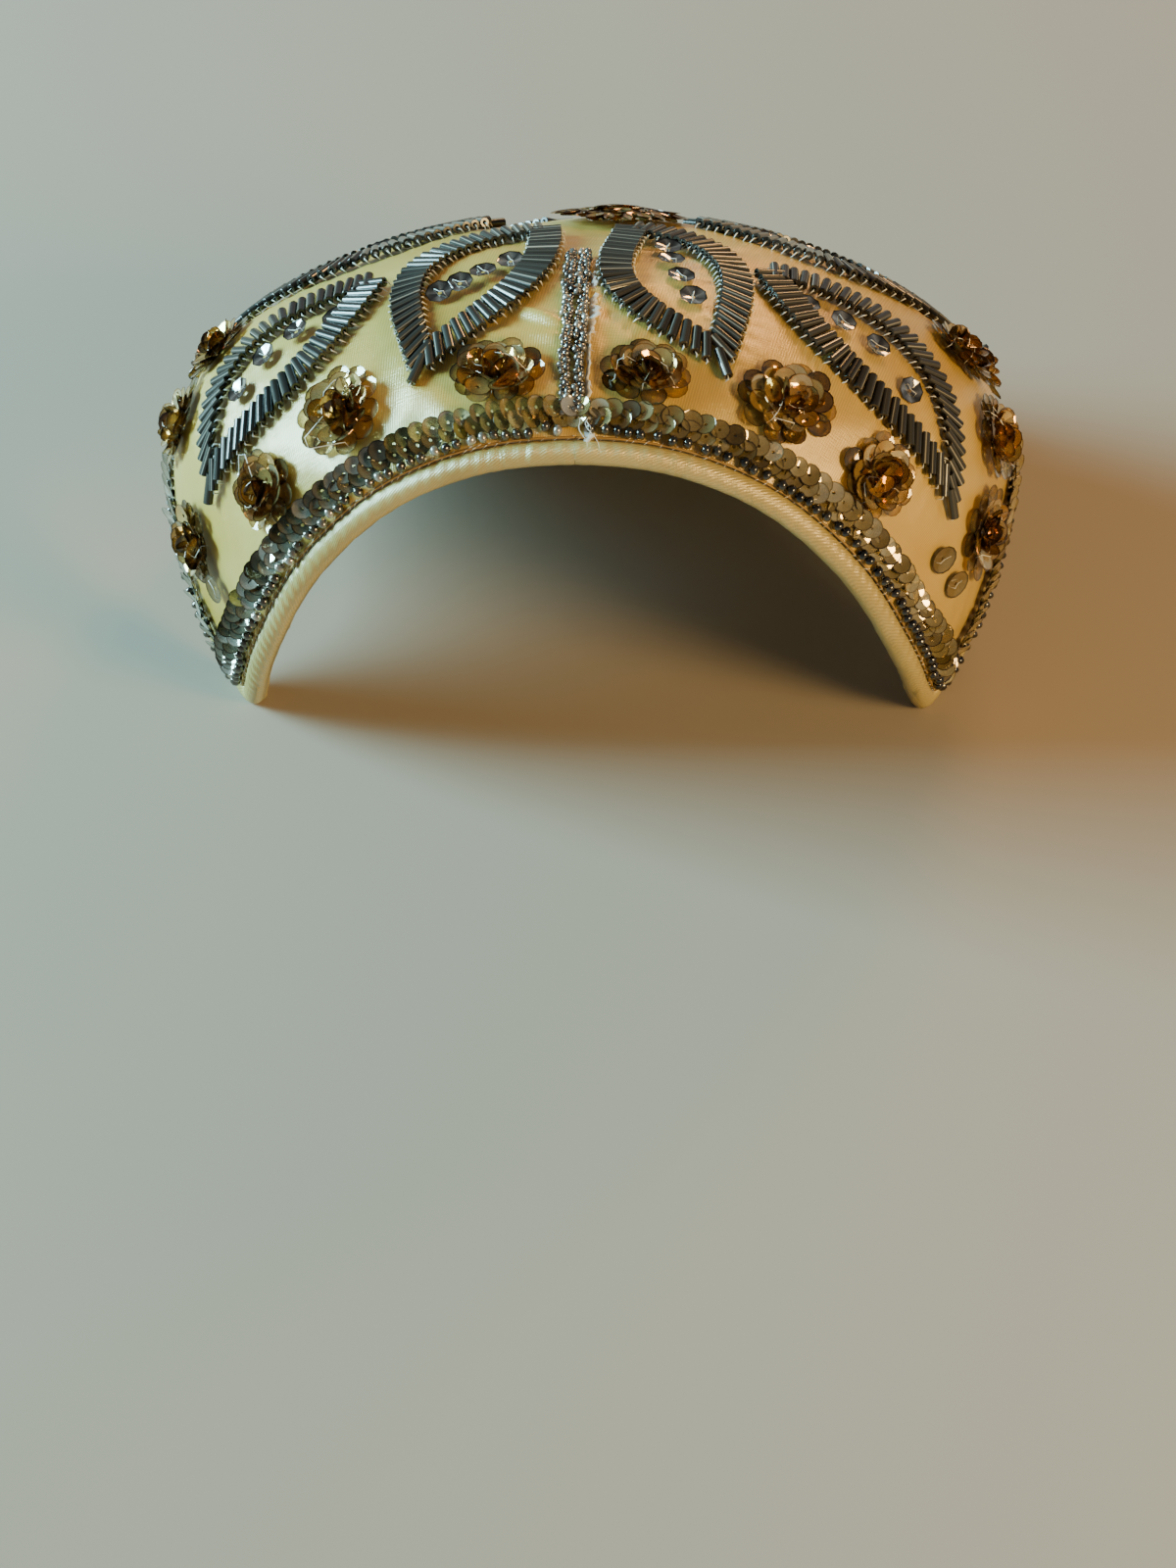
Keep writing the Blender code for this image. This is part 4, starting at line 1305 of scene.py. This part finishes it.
# Painted reflection: every other facet is painted dark, for the facets that would mirror the
# dark room, so that each reads like a cut stone
shade = rimmed(chance.uniform(0.75, 1.0, len(petal_flat)), STAR) \
    - np.tile(0.55 * (np.arange(len(STAR[0])) % 2), len(petal_flat))
make_piece("petal_sequins", seat(points), faces, [SILVER_SEQUIN], shade=shade,
           sharp=12.0)
points, faces = small_sequins(on_drawing(CHEEK_SEQUINS), height=1.0 * MM, size=0.98, tip=-10.0,
                              shape=CUP, crossing=0.6)
shade = rimmed(chance.uniform(0.15, 0.45, len(CHEEK_SEQUINS)))
make_piece("cheek_sequins", seat(points), faces, [OLIVE_SEQUIN], shade=shade,
           sharp=12.0)

# %% [markdown]
# ## Threads
# Handwork shows its thread: it comes out of each tube, crosses the flowers, whips the
# binding's seam to the satin and frays where the dart's edge was trimmed. Nearly all of
# it is the same thin closed tube, drawn along many short lines at once. Only the frayed
# edge itself is a flat strip.

# %% Seam stitches
SEAM_PITCH = 2.1 * MM
SEAM_NEAR, SEAM_FAR = 4.2 * MM, 5.3 * MM
near, far = closed_edge(SEAM_NEAR), closed_edge(SEAM_FAR)
count = int(walked(near)[-1] / SEAM_PITCH)
share = (np.arange(count) + chance.uniform(-0.3, 0.3, count)) / count
slant = chance.normal(0.0022, 0.0008, count)
first, second = at_shares(near, share % 1.0), at_shares(far, (share + slant) % 1.0)
lines = np.stack([
    lay_on_block(first, 0.1 * MM)[0], lay_on_block(0.6 * first + 0.4 * second, 0.42 * MM)[0],
    lay_on_block(0.25 * first + 0.75 * second, 0.28 * MM)[0], lay_on_block(second, -0.1 * MM)[0],
], axis=1)
stitches.append(strands(lines, 0.24 * MM))
print("seam stitches:", count)


# %% Frayed edge of the dart
def ribbon(low, high, thickness):
    """Closed flat strip between two lines: four corners round it at each station, half
    the thickness to each side, and lids at its ends."""
    ahead = unit(np.gradient(low, axis=0))
    aside = unit(np.cross(ahead, high - low)) * thickness / 2
    points = np.stack([low - aside, low + aside, high + aside, high - aside], axis=1).reshape(-1, 3)
    return points, facing_out(points, strip_faces(len(low)))


FRAY_X = 2.0 * MM
fall = np.linspace(DART_FALLS[0] + 9 * MM, DART_FALLS[1] + 1 * MM, 220)
wander = (0.40 * np.sin(fall / (1.9 * MM)) + 0.34 * np.sin(fall / (0.75 * MM) + 1.0)
          + 0.36 * np.sin(fall / (0.33 * MM)) + chance.normal(0.0, 0.09, len(fall)))
open_out = np.clip(0.42 + 0.6 * np.sin(fall / (4.4 * MM) + 0.6), 0.0, 1.0)
low = lay_on_block(unrolled(FRAY_X - 0.3 * MM + 0.2 * wander * MM, -fall), 0.25 * MM)[0]
top_x = FRAY_X + (0.25 + 1.0 * open_out + 0.65 * wander * (0.3 + open_out)) * MM
high = lay_on_block(unrolled(top_x, -fall), (0.8 + 0.3 * wander) * MM)[0]
stitches.append(ribbon(low, high, 0.22 * MM))

# %% Hairs and loose ends
HAIRS = 44
at = chance.uniform(fall[0], fall[-1], HAIRS)
root = np.interp(at, fall, top_x) - 0.3 * MM
tip_x = root + chance.normal(0.5, 0.4, HAIRS) * MM
tip_fall = at + chance.normal(0.0, 0.9, HAIRS) * MM
lines = np.stack([
    lay_on_block(unrolled(root, -at), 0.9 * MM)[0],
    lay_on_block(unrolled((root + tip_x) / 2, -(at + tip_fall) / 2), 1.1 * MM)[0],
    lay_on_block(unrolled(tip_x, -tip_fall), chance.uniform(0.2, 1.2, HAIRS) * MM)[0],
], axis=1)
stitches.append(strands(lines, 0.11 * MM))
# Loose ends hang from the foot of the dart over the border to the bound edge. A row has
# the place of one's root, how far it leans and how far it drops, in millimetres
LOOSE_ENDS = np.array([(0.4, 2.0, 5.6), (1.6, 3.8, 6.2), (2.4, 0.6, 4.0)])
DART_FOOT = 86.5 * MM
foot_x, lean, drop = LOOSE_ENDS.T[..., None]
share = np.linspace(0.0, 1.0, 9)
x = (foot_x + lean * share ** 1.4 + 0.35 * np.sin(9.0 * share + foot_x)) * MM
height = (1.4 + 1.1 * np.sin(HALF_TURN * share) - 0.3 * share) * MM + 0.0 * x
lines = lay_on_block(unrolled(x, -(DART_FOOT + drop * share * MM)), height)[0]
stitches.append(strands(lines, 0.14 * MM))
print("hairs:", HAIRS, "loose ends:", len(LOOSE_ENDS))

# %% Painted shade along the seam
# A brown strand sunk into the groove between the binding and the satin: painted shade where the groove
# is in shadow, rising and sinking so that it shows only in places
SEAM_GAP, SEAM_THICKNESS = 0.15 * MM, 0.5 * MM
SEAM_STATIONS = 300
STATIONS_A_WAVE = 7.0
line = edge_loop(BINDING_WIDTH + SEAM_GAP, SEAM_STATIONS, SEAM_STATIONS)
walk = np.arange(len(line)) / STATIONS_A_WAVE
line = lay_on_block(line, (0.36 + 0.14 * np.sin(walk) * np.sin(0.37 * walk)) * MM)[0]
SEAM_SHADE_BROWN = new_finish("painted_seam_shade", Base_Color=(0.38, 0.23, 0.07, 1.0), Roughness=0.7)[0]
points, faces = strands(np.vstack([line, line[:1]])[None], SEAM_THICKNESS)
make_piece("seam_shade_line", seat(points), faces, [SEAM_SHADE_BROWN], sharp=None)

# %% Threads as one piece
points, faces = joined(stitches)
make_piece("sewing_threads", seat(points), faces, [THREAD], sharp=None)

# %% [markdown]
# ## Stage
# A pale table, a large cool window at the left and a little behind, a warm lamp at the
# right, a small orange one behind, and a dim room that is brighter along its walls. The
# camera stands where the photograph was taken from: it is worked out on the upright
# block and seated with the hat. One pixel of the frame pins it down: the middle of the
# hat shows there.

# %% Camera
DISTANCE = 0.62
FOCAL_PIXELS = 3100.0
ELEVATION = np.radians(6.3)
YAW = np.radians(2.2)
TARGET = np.array([0.0, 0.0, 0.050])
TARGET_PIXEL = np.array([603.4, 494.8])
FRAME_PIXELS = np.array([1200.0, 1600.0])


def stand_at(thing, right, above, behind, place):
    """World matrix whose first three columns are the object's own ways and whose last is
    its place."""
    pose = np.eye(4)
    pose[:3] = np.stack([right, above, behind, place], axis=1)
    thing.matrix_world = pose.T.tolist()


behind = np.array([np.sin(YAW) * np.cos(ELEVATION), -np.cos(YAW) * np.cos(ELEVATION),
                   np.sin(ELEVATION)])
eye = lean_back(TARGET + DISTANCE * behind) - SEAT_SHIFT
ahead = -behind
right = unit(np.cross(ahead, [0.0, 0.0, 1.0]))
above = np.cross(right, ahead)
across_angle, rise_angle = np.arctan((TARGET_PIXEL - FRAME_PIXELS / 2) * (1, -1) / FOCAL_PIXELS)
ahead, above = turned(ahead, above, -rise_angle)
ahead, right = turned(ahead, right, -across_angle)
above = np.cross(right, ahead)

lens = bpy.data.cameras.new("camera")
lens.sensor_fit = "VERTICAL"
lens.sensor_height = 24.0
lens.lens = FOCAL_PIXELS * lens.sensor_height / FRAME_PIXELS[1]
lens.clip_start = 0.01
camera = in_scene("camera", lens)
stand_at(camera, lean_back(right), lean_back(above), lean_back(-ahead), eye)
bpy.context.scene.camera = camera
print("camera height", round(eye[2], 3), "m, looking down",
      round(float(np.degrees(np.arcsin(-lean_back(ahead)[2]))), 1), "degrees")

# %% Floor
FLOOR_REACH = 6.0


def floor_finish():
    """Pale warm grey paper with the faintest cloud."""
    finish, tree, shader = new_finish("pale_paper", Roughness=0.9, Specular_IOR_Level=0.1)
    place = node(tree, "ShaderNodeTexCoord")
    cloud = node(tree, "ShaderNodeTexNoise", Vector=place.outputs["Object"], Scale=3.0)
    tree.links.new(ramp(tree, cloud.outputs["Fac"], (
        (0.0, (0.36, 0.30, 0.235)), (1.0, (0.395, 0.33, 0.265)))), shader.inputs["Base Color"])
    return finish


floor_mesh = bpy.data.meshes.new("floor")
floor_mesh.from_pydata([(FLOOR_REACH * x, FLOOR_REACH * y, 0.0) for x, y in
                        ((-1, -1), (1, -1), (1, 1), (-1, 1))], [], [(0, 1, 2, 3)])
floor_mesh.materials.append(floor_finish())
floor = in_scene("floor", floor_mesh)
print("floor:", 2 * FLOOR_REACH, "m wide")

# %% Lights
LIGHTS = named_rows(("name", "place", "aim", "size", "power", "colour"), (
    ("window_left", (-1.22, 0.14, 0.54), (-0.03, -0.02, 0.04), 0.60, 66.0, (0.42, 0.86, 1.0)),
    ("lamp_behind", (0.28, 0.72, 0.50), (0.02, 0.0, 0.06), 0.22, 3.6, (1.0, 0.52, 0.17)),
    ("lamp_right", (0.62, -0.52, 0.40), (0.03, -0.02, 0.04), 0.26, 7.2, (1.0, 0.67, 0.26)),
))
for light in LIGHTS:
    lamp = bpy.data.lights.new(light["name"], "AREA")
    lamp.size, lamp.energy, lamp.color = light["size"], light["power"], light["colour"]
    towards = unit(np.array(light["aim"]) - np.array(light["place"]))
    side = unit(np.cross(towards, [0.0, 0.0, 1.0]))
    stand_at(in_scene(light["name"], lamp), side, np.cross(side, towards), -towards, light["place"])
print("lights:", len(LIGHTS))

# %% Room
# Greys of the room from the horizon up to overhead, against the height of the way there
ROOM_GREYS = ((0.0, 0.46), (0.35, 0.38), (0.75, 0.17))
ROOM_STRENGTH = 0.55
world = bpy.data.worlds.new("room")
world.use_nodes = True
room = world.node_tree
way = node(room, "ShaderNodeTexCoord")
split = node(room, "ShaderNodeSeparateXYZ", Vector=way.outputs["Generated"])
walls = ramp(room, split.outputs["Z"], [(height, (grey, grey, grey)) for height, grey in ROOM_GREYS])
room.links.new(walls, room.nodes["Background"].inputs["Color"])
room.nodes["Background"].inputs["Strength"].default_value = ROOM_STRENGTH
bpy.context.scene.world = world
print("room greys:", [grey for _, grey in ROOM_GREYS])
